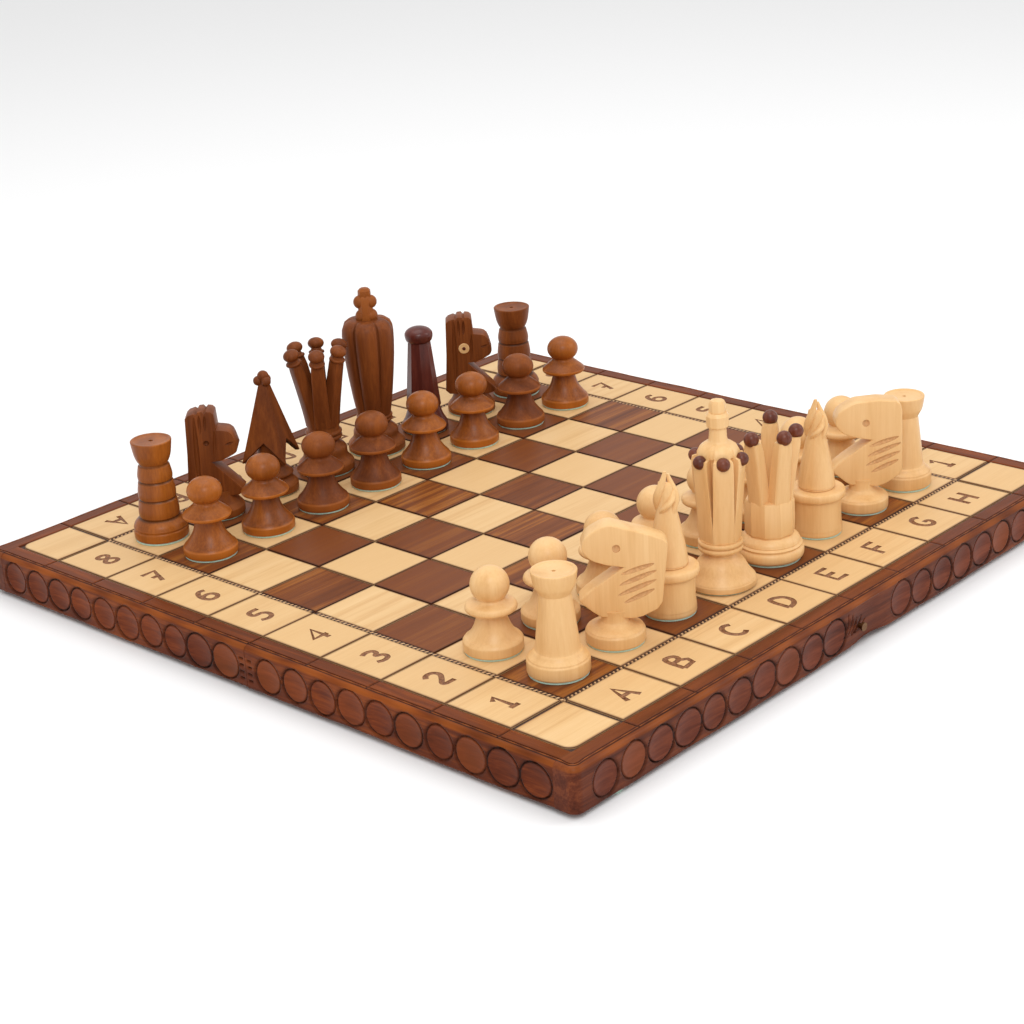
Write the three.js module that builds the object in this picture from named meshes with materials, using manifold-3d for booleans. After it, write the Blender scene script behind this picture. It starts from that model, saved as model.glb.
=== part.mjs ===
// Folding chess set: a shallow hinged box whose two halves open flat into the board,
// with thirty-two turned and cut wooden men standing on it.
// Millimetres, +Z up. X runs along the files a to h, Y along the ranks 1 to 8.
// The origin is under the middle of the board, on the table.
import * as THREE from "three";
import { mergeVertices } from "three/addons/utils/BufferGeometryUtils.js";
import Module from "manifold-3d";

const wasm = await Module();
wasm.setup();

// Board
const SQUARE = 40;
const BOARD = 412;
const BOARD_TOP = 25;
const RIM_BOTTOM = 2.5;
const RAIL_WIDTH = 12;
const PANEL_THICKNESS = 4;
const CORNER_RADIUS = 5;
const GAP = 0.3;
const FOLD_GAP = 0.2;
const FOLD_RAIL_FACE = 1.5;
const FOLD_RAIL_WIDTH = 8;

// Pads under the rims
const PAD_RADIUS = 3.5;
const PAD_HEIGHT = 2.2;
const FRONT_PAD_X = 175;
const REAR_PAD_X = 150;

// Hinges, on the underside of the fold
const HINGE_AXIS_Z = 1.1;
const HINGE_X = 110;
const HINGE_LENGTH = 50;
const KNUCKLE_RADIUS = 1.05;
const KNUCKLE_HOLE = 0.72;
const PIN_RADIUS = 0.42;
const LEAF_TOP = 14;
const LEAF_BOTTOM = 2.6;
const LEAF_THICKNESS = 0.9;

// Hook latch, in the middle of the end rails
const LATCH_Z = 12.5;
const LATCH_REACH = 2 * (LATCH_Z - HINGE_AXIS_Z);
const STUD_RADIUS = 1.4;
const STUD_LENGTH = 3.4;
const HOOK_THICKNESS = 1.2;
const HOOK_EYE = 3;

// Men
const STAND = BOARD_TOP + GAP;
const SIDES = 12;
const WHITE_KNIGHT_TURN = 134;
const BROWN_KNIGHT_TURN = -46;
const CORNER_DIRECTION = 223.6;
const SLOPING_BACK = [[-23, 51.2], [-25, 49.4], [-24.8, 45.6], [-21.8, 20.4], [-19.6, 17]];
const SQUARE_BACK = [[-17, 59], [-20.2, 56], [-20.4, 22], [-18.8, 18.6]];

const LIGHT = { color: 0xe9c48c, roughness: 0.45, metalness: 0 };
const DARK = { color: 0x6b3418, roughness: 0.4, metalness: 0 };
const FRAME = { color: 0x5c2f20, roughness: 0.4, metalness: 0 };
const BRASS = { color: 0xb8913f, roughness: 0.3, metalness: 1 };
const FELT = { color: 0x8fb5a0, roughness: 1, metalness: 0 };

const set = new THREE.Group();

function add(name, geometry, finish, position = [0, 0, 0], turn = 0) {
  const mesh = new THREE.Mesh(geometry, new THREE.MeshStandardMaterial(finish));
  mesh.name = name;
  mesh.position.set(...position);
  mesh.rotation.z = THREE.MathUtils.degToRad(turn);
  set.add(mesh);
}

// Solids for joining and cutting

function toSolid(geometry) {
  const bare = geometry.clone();
  bare.deleteAttribute("normal");
  bare.deleteAttribute("uv");
  const merged = mergeVertices(bare, 1e-4);
  return new wasm.Manifold(new wasm.Mesh({
    numProp: 3,
    vertProperties: new Float32Array(merged.attributes.position.array),
    triVerts: new Uint32Array(merged.index.array),
  }));
}

function toGeometry(solid) {
  const mesh = solid.getMesh();
  const geometry = new THREE.BufferGeometry();
  geometry.setAttribute("position", new THREE.BufferAttribute(mesh.vertProperties, 3));
  geometry.setIndex(new THREE.BufferAttribute(mesh.triVerts, 1));
  return geometry;
}

function join(...geometries) {
  return toGeometry(geometries.map(toSolid).reduce((sum, solid) => sum.add(solid)));
}

function cut(body, ...tools) {
  return toGeometry(tools.map(toSolid).reduce((rest, tool) => rest.subtract(tool), toSolid(body)));
}

// Plain shapes, each placed by its limits

function box(x0, x1, y0, y1, z0, z1) {
  const geometry = new THREE.BoxGeometry(x1 - x0, y1 - y0, z1 - z0);
  return geometry.translate((x0 + x1) / 2, (y0 + y1) / 2, (z0 + z1) / 2);
}

function turned(profile, sides = SIDES) {
  const points = profile.map(([radius, height]) => new THREE.Vector2(radius, height));
  return new THREE.LatheGeometry(points, sides).rotateX(Math.PI / 2);
}

function ball(radius, x, y, z, detail = 1) {
  return new THREE.IcosahedronGeometry(radius, detail).translate(x, y, z);
}

function rodAlongX(radius, x0, x1, y, z, sides = SIDES) {
  const rod = new THREE.CylinderGeometry(radius, radius, x1 - x0, sides);
  return rod.rotateZ(Math.PI / 2).translate((x0 + x1) / 2, y, z);
}

function rodAlongY(radius, y0, y1, x, z, sides = SIDES) {
  const rod = new THREE.CylinderGeometry(radius, radius, y1 - y0, sides);
  return rod.translate(x, (y0 + y1) / 2, z);
}

// A flat plate cut to an outline in the X-Z plane, centred on Y.
function plate(outline, thickness) {
  const shape = new THREE.Shape(outline.map(([x, z]) => new THREE.Vector2(x, z)));
  const geometry = new THREE.ExtrudeGeometry(shape, { depth: thickness, bevelEnabled: false });
  return geometry.rotateX(Math.PI / 2).translate(0, thickness / 2, 0);
}

// Board halves. side is -1 for the front half and 1 for the rear half.

function panel(side) {
  const edge = BOARD / 2 - RAIL_WIDTH - GAP;
  const y = [side * FOLD_GAP, side * edge].sort((a, b) => a - b);
  return box(-edge, edge, y[0], y[1], BOARD_TOP - PANEL_THICKNESS, BOARD_TOP);
}

function endRail(side) {
  const half = BOARD / 2;
  const inner = half - RAIL_WIDTH;
  const shape = new THREE.Shape();
  shape.moveTo(-half, inner);
  shape.lineTo(half, inner);
  shape.lineTo(half, half - CORNER_RADIUS);
  shape.absarc(half - CORNER_RADIUS, half - CORNER_RADIUS, CORNER_RADIUS, 0, Math.PI / 2);
  shape.lineTo(-half + CORNER_RADIUS, half);
  shape.absarc(-half + CORNER_RADIUS, half - CORNER_RADIUS, CORNER_RADIUS, Math.PI / 2, Math.PI);
  const rail = new THREE.ExtrudeGeometry(shape, {
    depth: BOARD_TOP - RIM_BOTTOM, bevelEnabled: false, curveSegments: 3,
  });
  rail.translate(0, 0, RIM_BOTTOM);
  return side > 0 ? rail : rail.rotateZ(Math.PI);
}

function sideRail(side, hand) {
  const outer = hand * BOARD / 2;
  const inner = hand * (BOARD / 2 - RAIL_WIDTH);
  const x = [inner, outer].sort((a, b) => a - b);
  const y = [side * FOLD_GAP, side * (BOARD / 2 - RAIL_WIDTH - GAP)].sort((a, b) => a - b);
  return box(x[0], x[1], y[0], y[1], RIM_BOTTOM, BOARD_TOP);
}

function foldRail(side) {
  const end = BOARD / 2 - RAIL_WIDTH - GAP;
  const y = [side * FOLD_RAIL_FACE, side * (FOLD_RAIL_FACE + FOLD_RAIL_WIDTH)].sort((a, b) => a - b);
  return box(-end, end, y[0], y[1], RIM_BOTTOM, BOARD_TOP - PANEL_THICKNESS - GAP);
}

function pad() {
  return new THREE.CylinderGeometry(PAD_RADIUS, PAD_RADIUS, PAD_HEIGHT, SIDES)
    .rotateX(Math.PI / 2).translate(0, 0, PAD_HEIGHT / 2);
}

function addBoardHalf(half, side, padX) {
  add(`${half}_panel`, panel(side), LIGHT);
  add(`${half}_end_rail`, endRail(side), FRAME);
  add(`${half}_side_rail_a`, sideRail(side, -1), FRAME);
  add(`${half}_side_rail_h`, sideRail(side, 1), FRAME);
  add(`${half}_fold_rail`, foldRail(side), FRAME);
  const endY = side * (BOARD / 2 - RAIL_WIDTH / 2);
  const foldY = side * (FOLD_RAIL_FACE + FOLD_RAIL_WIDTH / 2);
  [["end_a", -padX, endY], ["end_h", padX, endY], ["fold_a", -padX, foldY], ["fold_h", padX, foldY]]
    .forEach(([place, x, y]) => add(`${half}_pad_${place}`, pad(), FELT, [x, y, 0]));
}

// Hinge leaves: a plate against the fold rail, with knuckles that turn on one pin.

function leaf(side, knuckles) {
  const inner = side * GAP;
  const outer = side * (GAP + LEAF_THICKNESS);
  const y = [inner, outer].sort((a, b) => a - b);
  const webY = [inner, side * KNUCKLE_RADIUS * 0.95].sort((a, b) => a - b);
  const half = HINGE_LENGTH / 2;
  const parts = [box(-half, half, y[0], y[1], LEAF_BOTTOM, LEAF_TOP)];
  knuckles.forEach(([x0, x1]) => {
    parts.push(rodAlongX(KNUCKLE_RADIUS, x0, x1, 0, HINGE_AXIS_Z));
    parts.push(box(x0, x1, webY[0], webY[1], HINGE_AXIS_Z, LEAF_BOTTOM + 0.5));
  });
  return cut(join(...parts), rodAlongX(KNUCKLE_HOLE, -half - 1, half + 1, 0, HINGE_AXIS_Z));
}

function addHinge(place, x) {
  const half = HINGE_LENGTH / 2;
  const third = HINGE_LENGTH / 6;
  const outerKnuckles = [[-half, -third - GAP / 2], [third + GAP / 2, half]];
  const middleKnuckle = [[-third + GAP / 2, third - GAP / 2]];
  add(`hinge_${place}_front_leaf`, leaf(-1, outerKnuckles), BRASS, [x, 0, 0]);
  add(`hinge_${place}_rear_leaf`, leaf(1, middleKnuckle), BRASS, [x, 0, 0]);
  add(`hinge_${place}_pin`, rodAlongX(PIN_RADIUS, -half, half, 0, HINGE_AXIS_Z), BRASS, [x, 0, 0]);
}

// Latch: a brass hook on the rear end rail, which lies level when the board is open
// and swings onto a stud on the front end rail when the board is folded shut.

function hook() {
  const y0 = 0.8;
  const y1 = y0 + HOOK_THICKNESS;
  const slot = STUD_RADIUS + 0.4;
  const wall = 2;
  const tip = LATCH_REACH + slot + wall;
  const blade = join(
    rodAlongY(HOOK_EYE, y0, y1, 0, 0),
    box(0, LATCH_REACH, y0, y1, -1.3, 1.3),
    box(LATCH_REACH - slot - wall, tip, y0, y1, -1.5, slot + wall),
  );
  return cut(
    blade,
    rodAlongY(1.3, y0 - 1, y1 + 1, 0, 0),
    rodAlongY(slot, y0 - 1, y1 + 1, LATCH_REACH, 0),
    box(LATCH_REACH - slot, LATCH_REACH + slot, y0 - 1, y1 + 1, -5, 0),
  );
}

function headedPin(shank, head, length) {
  return join(
    rodAlongY(shank, GAP, length, 0, 0),
    rodAlongY(head, length - 1, length, 0, 0),
  );
}

function addLatch() {
  const face = BOARD / 2;
  add("latch_hook", hook(), BRASS, [0, face, LATCH_Z]);
  add("latch_pivot", headedPin(1, 2.4, STUD_LENGTH), BRASS, [0, face, LATCH_Z]);
  add("latch_stud", headedPin(STUD_RADIUS, 2.2, STUD_LENGTH), BRASS, [0, -face, LATCH_Z], 180);
}

// Men. Every profile runs up from the middle of the base to the top of the axis.

function whitePawn() {
  return turned([
    [0, 0], [14.3, 0], [14.3, 6.5], [9, 12], [7, 19.4], [12, 20.6], [12, 23.4], [6.6, 25.5],
    [9.2, 32], [8, 37.6], [0, 42],
  ], 10);
}

function brownPawn() {
  return turned([
    [0, 0], [14.3, 0], [14.3, 6], [8.6, 12.4], [6.6, 20.2], [12.6, 21.2], [12.4, 23.4], [6.2, 29.2],
    [9.2, 34.9], [7, 39.8], [0, 42.3],
  ], 10);
}

function whiteRook() {
  return turned([
    [0, 0], [14.6, 0], [14.6, 7.6], [10.6, 11.6], [9.5, 20], [7.3, 38.9], [9.4, 43], [10.5, 50.2],
    [8.4, 50.2], [8, 49], [0, 49],
  ]);
}

function brownRook() {
  return turned([
    [0, 0], [14.4, 0], [14.3, 7.4], [10.6, 12.2], [10, 22.6], [9.2, 32.6], [7.6, 42.2], [9.6, 46.6],
    [10.7, 54.7], [8.4, 54.7], [8, 53.6], [0, 53.6],
  ]);
}

function base(radius, rim, neck, neckHeight) {
  return turned([[0, 0], [radius, 0], [radius, rim], [neck, rim + 4], [neck, neckHeight], [0, neckHeight]]);
}

function whiteKnight(back) {
  const head = plate([
    [-8, 13], [6.6, 14.6], [15.6, 22.6], [9.6, 29.2], [-4.6, 38.6], [9.6, 42.8], [14, 50.4],
    [10.4, 55.8], [0.6, 59.6], ...back,
  ], 11);
  const eye = rodAlongY(2, -8, 8, -1.5, 48.2, 8);
  return cut(join(base(14, 7, 6.6, 17), head), eye);
}

function brownKnight() {
  const head = plate([
    [-12.4, 13.2], [9, 12], [15, 14.2], [-0.6, 31.8], [5, 31.4], [13, 36], [12.8, 44], [9, 49],
    [3.8, 49.8], [3.2, 58.4], [-0.6, 60.2], [-5.2, 60.2], [-12.2, 56.8], [-13, 36],
  ], 13);
  return join(base(14.2, 6, 9.6, 14.8), head);
}

function whiteBishop() {
  return turned([
    [0, 0], [12.9, 0], [12.5, 14], [12.8, 19.8], [14.7, 21], [14.7, 23.4], [12.2, 24.4], [9, 26],
    [7.2, 40], [4.8, 53], [4.4, 60], [3.2, 66], [0, 71],
  ]);
}

function pointedBishop() {
  const cone = new THREE.CylinderGeometry(2.8, 15.2, 43.5, 4, 1);
  cone.rotateX(Math.PI / 2).rotateZ(towardsCorner(55)).translate(0, 0, 41.75);
  return join(base(13.8, 7, 8, 22), cone, ball(4, 0, 0, 65.6, 1));
}

function cappedBishop() {
  return turned([
    [0, 0], [13.6, 0], [13.6, 5], [11.4, 8.4], [10.2, 15.4], [6.6, 54], [8.2, 57], [8, 60.4],
    [5, 62.6], [0, 63.2],
  ], 8);
}

// An angle round Z counted from the direction of the a1 corner, which crowns are carved to face.
function towardsCorner(degrees) {
  return THREE.MathUtils.degToRad(CORNER_DIRECTION + degrees);
}

// A crown prong leaning out from the cup, with the bead on its tip.
function prong(degrees, foot, tip, thickness, beadRadius) {
  const angle = towardsCorner(degrees);
  const at = ([radius, height]) =>
    new THREE.Vector3(radius * Math.cos(angle), radius * Math.sin(angle), height);
  const half = thickness / 2;
  const section = new THREE.Shape([
    new THREE.Vector2(-half, -half), new THREE.Vector2(half, -half),
    new THREE.Vector2(half, half), new THREE.Vector2(-half, half),
  ]);
  const path = new THREE.LineCurve3(at(foot), at(tip));
  const shaft = new THREE.ExtrudeGeometry(section, { steps: 1, extrudePath: path, bevelEnabled: false });
  const end = at(tip);
  return [shaft, ball(beadRadius, end.x, end.y, end.z)];
}

function whiteQueen() {
  const body = turned([
    [0, 0], [16.9, 0], [16.9, 7], [15.2, 9.4], [11.6, 13.6], [12.5, 15], [12.4, 31], [0, 32.1],
  ]);
  const tips = [[-49, 12, 65.4], [31, 12, 66], [97, 13.4, 65], [168, 11, 69.4]];
  const prongs = tips.flatMap(([degrees, reach, height]) =>
    prong(degrees, [7, 30.5], [reach, height], 7.2, 3.8));
  return join(body, ...prongs);
}

function brownQueen() {
  const body = turned([
    [0, 0], [15.9, 0], [15.9, 6], [8.6, 17], [10.4, 19.2], [10.4, 24], [9.2, 26], [9, 34], [0, 34],
  ]);
  const reaches = [[-58, 14.2], [4, 11.6], [66, 12.4], [122, 13.2], [184, 11.4], [-118, 12.6]];
  const prongs = reaches.flatMap(([degrees, reach]) => prong(degrees, [5, 28], [reach, 69], 6.4, 4));
  return join(body, ...prongs);
}

function whiteKing() {
  const body = turned([
    [0, 0], [17.2, 0], [17.2, 5], [8, 15.5], [7.8, 18], [11, 19.4], [11, 24], [10.4, 26], [10, 60],
    [9.8, 69], [6.2, 74.4], [5, 80], [5.5, 82.4], [5.4, 88.4], [3.7, 89], [3.4, 94], [0, 95],
  ]);
  const tips = [-160, -100, -40, 20, 80, 140];
  const prongs = tips.flatMap((degrees) => prong(degrees, [7.6, 34], [11.6, 65], 5.6, 3.3));
  return join(body, ...prongs);
}

function brownKing() {
  const body = turned([
    [0, 0], [16.4, 0], [16.4, 6], [9, 16.6], [10.4, 18.4], [10.4, 22], [9.8, 23], [13, 45],
    [14.8, 66], [14.4, 73.6], [11, 77.6], [4.6, 78.2], [4.4, 91.4], [3.7, 95], [0, 96.4],
  ]);
  const across = new THREE.Vector3(Math.cos(towardsCorner(90)), Math.sin(towardsCorner(90)), 0);
  const lobes = [[-2.8, 88.4, 3.9], [2.8, 88.4, 3.9], [-2, 80, 4.2], [2.4, 80.2, 4.2]];
  const cross = lobes.map(([reach, height, radius]) =>
    ball(radius, across.x * reach, across.y * reach, height));
  const slots = [0, 60, 120].map((degrees) => {
    const groove = join(
      box(10.4, 20, -0.9, 0.9, 36, 75),
      box(-20, -10.4, -0.9, 0.9, 36, 75),
    );
    return groove.rotateZ(towardsCorner(degrees + 28));
  });
  return cut(join(body, ...cross), ...slots);
}

// Setting up

function squareCentre(file, rank) {
  const fileIndex = "abcdefgh".indexOf(file);
  return [(fileIndex - 3.5) * SQUARE, (rank - 4.5) * SQUARE, STAND];
}

function addMan(colour, kind, file, rank, geometry, finish, turn = 0) {
  add(`${colour}_${kind}_${file}`, geometry, finish, squareCentre(file, rank), turn);
}

function addWhiteMen() {
  addMan("white", "rook", "a", 1, whiteRook(), LIGHT);
  addMan("white", "knight", "b", 1, whiteKnight(SLOPING_BACK), LIGHT, WHITE_KNIGHT_TURN);
  addMan("white", "bishop", "c", 1, whiteBishop(), LIGHT);
  addMan("white", "king", "d", 1, whiteKing(), LIGHT);
  addMan("white", "queen", "e", 1, whiteQueen(), LIGHT);
  addMan("white", "bishop", "f", 1, whiteBishop(), LIGHT);
  addMan("white", "knight", "g", 1, whiteKnight(SQUARE_BACK), LIGHT, WHITE_KNIGHT_TURN);
  addMan("white", "rook", "h", 1, whiteRook(), LIGHT);
  [..."abcdefgh"].forEach((file) => addMan("white", "pawn", file, 2, whitePawn(), LIGHT));
}

function addBrownMen() {
  addMan("brown", "rook", "a", 8, brownRook(), DARK);
  addMan("brown", "knight", "b", 8, brownKnight(), DARK, BROWN_KNIGHT_TURN);
  addMan("brown", "bishop", "c", 8, pointedBishop(), DARK);
  addMan("brown", "queen", "d", 8, brownQueen(), DARK);
  addMan("brown", "king", "e", 8, brownKing(), DARK);
  addMan("brown", "bishop", "f", 8, cappedBishop(), DARK);
  addMan("brown", "knight", "g", 8, brownKnight(), DARK, BROWN_KNIGHT_TURN);
  addMan("brown", "rook", "h", 8, brownRook(), DARK);
  [..."abcdefgh"].forEach((file) => addMan("brown", "pawn", file, 7, brownPawn(), DARK));
}

addBoardHalf("front", -1, FRONT_PAD_X);
addBoardHalf("rear", 1, REAR_PAD_X);
addHinge("a", -HINGE_X);
addHinge("h", HINGE_X);
addLatch();
addWhiteMen();
addBrownMen();

export default set;
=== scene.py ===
"""A folding chess set with its men set up: the looks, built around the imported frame.

Shapes are worked out in millimetres and turned into metres when a mesh is made. X runs along the
files a to h, Y along the ranks 1 to 8, Z up, with the board's underside on the table at zero.
"""

import random
from math import copysign, cos, hypot, pi, radians, sin

import bmesh
import bpy
import numpy as np
from mathutils import Matrix, Vector


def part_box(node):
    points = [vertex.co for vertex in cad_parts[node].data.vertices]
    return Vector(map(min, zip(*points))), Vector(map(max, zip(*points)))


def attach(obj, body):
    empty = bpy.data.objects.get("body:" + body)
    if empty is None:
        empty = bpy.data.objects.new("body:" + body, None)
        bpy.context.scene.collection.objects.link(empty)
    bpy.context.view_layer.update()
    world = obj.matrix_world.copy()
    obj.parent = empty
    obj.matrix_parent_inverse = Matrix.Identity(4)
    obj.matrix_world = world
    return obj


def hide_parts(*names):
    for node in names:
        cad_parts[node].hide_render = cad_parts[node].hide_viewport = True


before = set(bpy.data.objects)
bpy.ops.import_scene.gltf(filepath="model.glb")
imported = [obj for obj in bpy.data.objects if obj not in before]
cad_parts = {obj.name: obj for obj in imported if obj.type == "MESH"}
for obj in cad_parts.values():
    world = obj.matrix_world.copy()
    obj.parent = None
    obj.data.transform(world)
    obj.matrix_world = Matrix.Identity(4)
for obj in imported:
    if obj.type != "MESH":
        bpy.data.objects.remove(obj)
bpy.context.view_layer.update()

MM = 0.001
FLOOR_SIZE = 6

# Board, from the frame's own solids
PANEL_LOW, PANEL_HIGH = (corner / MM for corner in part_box("rear_panel"))
RAIL_LOW, RAIL_HIGH = (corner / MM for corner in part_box("rear_end_rail"))
BOARD_TOP = PANEL_HIGH.z
HALF_BOARD = RAIL_HIGH.x
RAIL_INNER = RAIL_LOW.y
RIM_BOTTOM = RAIL_LOW.z
FOLD_GAP = PANEL_LOW.y
SQUARE = 40.0
FIELD = 4 * SQUARE
PANEL_EDGE = PANEL_HIGH.x

# Burned lines, glyphs and rope line on the playing surface
LINE_HALF = 0.5
ROPE_HALF = 0.85
ROPE_PITCH = 1.3
GROOVE_DEPTH = 0.8
SCORCH = 1.5
GLYPH_HEIGHT = 13.0
GLYPH_RADIUS = 1.75
GLYPH_LIFT = 0.9
TILE_CORNER = 5.5
STITCH_SLANT = 0.3
FOLD_CLEARANCE = 1.2

# Carving on the rails
RING_PITCH = 18.6
RING_RADIUS = 8.75
RING_LINE = 0.7
RING_HEIGHT = 12.9
CORNER_RADIUS = 5.0
WORN_STRETCH = (-10, 29)
RING_CUT = 1.0
DISH_CUT = 1.3
DISH_RIM = 0.15
STATION_STEP = 0.5
FACE_STEPS = 40
STRIP_EDGE = 4.6

FILES = "abcdefgh"
TURN_SEGMENTS = 72

# Crowns are turned so that their carving faces the a1 corner
VIEWER_ANGLE = 223.6


# ---------------------------------------------------------------- camera, light, floor

def put(name, data):
    """A new object in the scene that shows the data."""
    thing = bpy.data.objects.new(name, data)
    bpy.context.scene.collection.objects.link(thing)
    return thing


def make_camera():
    """A long lens over the a1 corner, leaning a little, as the photographer's did."""
    azimuth = radians(-46.36)
    elevation = radians(21.76)
    lean = -0.062
    distance = 1.1767
    target = Vector((-0.0091, 0.0079, BOARD_TOP * MM))
    back = Vector((
        sin(azimuth) * cos(elevation),
        -cos(azimuth) * cos(elevation),
        sin(elevation),
    ))
    level = Vector((cos(azimuth), sin(azimuth), 0))
    upright = back.cross(level)
    right = cos(lean) * level + sin(lean) * upright
    up = back.cross(right)
    data = bpy.data.cameras.new("camera")
    data.sensor_width = 36
    data.lens = 77.7
    data.clip_end = 20
    camera = put("camera", data)
    camera.matrix_world = Matrix.Translation(target + back * distance) @ Matrix((
        (right.x, up.x, back.x, 0),
        (right.y, up.y, back.y, 0),
        (right.z, up.z, back.z, 0),
        (0, 0, 0, 1),
    ))
    bpy.context.scene.camera = camera


def area_light(name, place, size, power):
    """A rectangular light that faces the middle of the board."""
    data = bpy.data.lights.new(name, "AREA")
    data.shape = "RECTANGLE"
    data.size, data.size_y = size
    data.energy = power
    light = put(name, data)
    light.location = place
    light.rotation_euler = (-Vector(place)).to_track_quat("-Z", "Y").to_euler()


def make_studio():
    """White surroundings, three soft lights and a pale floor."""
    world = bpy.data.worlds.new("studio")
    world.use_nodes = True
    background = world.node_tree.nodes["Background"]
    background.inputs["Color"].default_value = (1, 1, 1, 1)
    background.inputs["Strength"].default_value = 0.8
    bpy.context.scene.world = world
    bpy.context.scene.view_settings.view_transform = "Standard"
    area_light("key", (-0.9, -0.9, 1.3), (0.5, 0.8), 9)
    area_light("side", (0.9, -0.9, 0.9), (0.4, 0.7), 3)
    area_light("top", (0.1, 0.3, 1.6), (1.2, 1.2), 8)

    bm = bmesh.new()
    bmesh.ops.create_grid(bm, x_segments=2, y_segments=2, size=FLOOR_SIZE)
    mesh = bpy.data.meshes.new("floor")
    bm.to_mesh(mesh)
    bm.free()
    floor = put("floor", mesh)
    material = bpy.data.materials.new("pale_floor")
    material.use_nodes = True
    shader = material.node_tree.nodes["Principled BSDF"]
    shader.inputs["Base Color"].default_value = (0.93, 0.93, 0.93, 1)
    shader.inputs["Roughness"].default_value = 0.9
    mesh.materials.append(material)


# ---------------------------------------------------------------- materials

class Nodes:
    """A short way to write a material's node tree."""

    def __init__(self, name):
        self.material = bpy.data.materials.new(name)
        self.material.use_nodes = True
        self.tree = self.material.node_tree
        self.shader = self.tree.nodes["Principled BSDF"]

    def node(self, kind, **settings):
        made = self.tree.nodes.new(kind)
        for key, value in settings.items():
            setattr(made, key, value)
        return made

    def link(self, source, target):
        self.tree.links.new(source, target)

    def coordinates(self, scale, shift_by=None):
        place = self.node("ShaderNodeTexCoord").outputs["Object"]
        if shift_by is not None:
            spread = self.node("ShaderNodeVectorMath", operation="SCALE")
            spread.inputs[0].default_value = (0.37, 0.53, 0.71)
            self.link(shift_by, spread.inputs["Scale"])
            moved = self.node("ShaderNodeVectorMath", operation="ADD")
            self.link(place, moved.inputs[0])
            self.link(spread.outputs[0], moved.inputs[1])
            place = moved.outputs[0]
        mapping = self.node("ShaderNodeMapping")
        mapping.inputs["Scale"].default_value = scale
        self.link(place, mapping.inputs["Vector"])
        return mapping.outputs["Vector"]

    def noise(self, vector, scale, detail=4.0, roughness=0.6, distortion=0.0):
        made = self.node("ShaderNodeTexNoise")
        made.inputs["Scale"].default_value = scale
        made.inputs["Detail"].default_value = detail
        made.inputs["Roughness"].default_value = roughness
        made.inputs["Distortion"].default_value = distortion
        self.link(vector, made.inputs["Vector"])
        return made.outputs["Fac"]

    def ramp(self, value, stops):
        made = self.node("ShaderNodeValToRGB")
        elements = made.color_ramp.elements
        while len(elements) < len(stops):
            elements.new(0.5)
        for element, (position, colour) in zip(elements, stops):
            element.position = position
            element.color = (*colour, 1)
        self.link(value, made.inputs["Fac"])
        return made.outputs["Color"]

    def attribute(self, name):
        return self.node("ShaderNodeAttribute", attribute_name=name).outputs["Fac"]

    def feed(self, socket, value):
        """Links another node's output to a socket, or sets the socket to a number or a colour."""
        if isinstance(value, bpy.types.NodeSocket):
            self.link(value, socket)
        elif isinstance(value, (int, float)):
            socket.default_value = value
        else:
            socket.default_value = (*value, 1)

    def mix(self, factor, first, second):
        """Mixes two colours; the node's sockets 6 and 7 and its output 2 are the ones for colour."""
        made = self.node("ShaderNodeMix", data_type="RGBA", blend_type="MIX")
        for index, value in ((0, factor), (6, first), (7, second)):
            self.feed(made.inputs[index], value)
        return made.outputs[2]

    def math(self, operation, first, second=0.0, clamp=False):
        made = self.node("ShaderNodeMath", operation=operation, use_clamp=clamp)
        for socket, value in zip(made.inputs, (first, second)):
            self.feed(socket, value)
        return made.outputs[0]

    def scaled(self, value, factor, offset):
        return self.math("ADD", self.math("MULTIPLY", value, factor), offset)

    def weighted(self, first, first_share, second, second_share):
        return self.math("ADD", self.math("MULTIPLY", first, first_share),
                         self.math("MULTIPLY", second, second_share))

    def bump(self, height, strength, distance):
        made = self.node("ShaderNodeBump")
        made.inputs["Strength"].default_value = strength
        made.inputs["Distance"].default_value = distance
        self.link(height, made.inputs["Height"])
        self.link(made.outputs["Normal"], self.shader.inputs["Normal"])

    def finish(self, colour, roughness, specular=0.5):
        self.link(colour, self.shader.inputs["Base Color"])
        self.feed(self.shader.inputs["Roughness"], roughness)
        self.shader.inputs["Specular IOR Level"].default_value = specular
        return self.material


# Rail stain where edges are rubbed through, and where it is burned
RUBBED_STAIN = (0.36, 0.095, 0.014)
BURNED_STAIN = (0.010, 0.004, 0.003)


def grain_scale(axis, across, along):
    """Noise squeezed across the grain and drawn out along it."""
    return tuple(along if i == "XYZ".index(axis) else across for i in range(3))


def wood(name, axis, pale, middle, deep, roughness, specular, streak=0.5, worn=None, burned=None):
    """Lacquered wood: broad figure, fine fibres and pores that run along one axis.

    The tone attribute lightens what was rubbed through, burn darkens what was burned (and paints the
    shade inside the brown bishop's hollow skirt), and shift gives each piece its own stretch of grain.
    """
    n = Nodes(name)
    shift = n.attribute("shift")
    broad = n.noise(n.coordinates(grain_scale(axis, 60, 7), shift), 1.0, 3, 0.5, 1.2)
    fibres = n.noise(n.coordinates(grain_scale(axis, 900, 28), shift), 1.0, 5, 0.7, 0.3)
    pores = n.noise(n.coordinates(grain_scale(axis, 2600, 120), shift), 1.0, 2, 0.5)
    figure = n.weighted(broad, 1 - streak, fibres, streak)
    colour = n.ramp(figure, [(0.32, deep), (0.5, middle), (0.66, pale)])
    if worn is not None:
        patches = n.noise(n.coordinates((90, 90, 90), shift), 1.0, 3, 0.6)
        amount = n.math("MULTIPLY", n.attribute("tone"), n.math("ADD", patches, 0.45), clamp=True)
        colour = n.mix(amount, colour, worn)
    if burned is not None:
        colour = n.mix(n.attribute("burn"), colour, burned)
    sheen = n.scaled(fibres, 0.16, roughness - 0.08)
    n.bump(n.math("ADD", fibres, n.math("MULTIPLY", pores, 0.6)), 0.18, 0.0002)
    return n.finish(colour, sheen, specular=specular)


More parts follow.
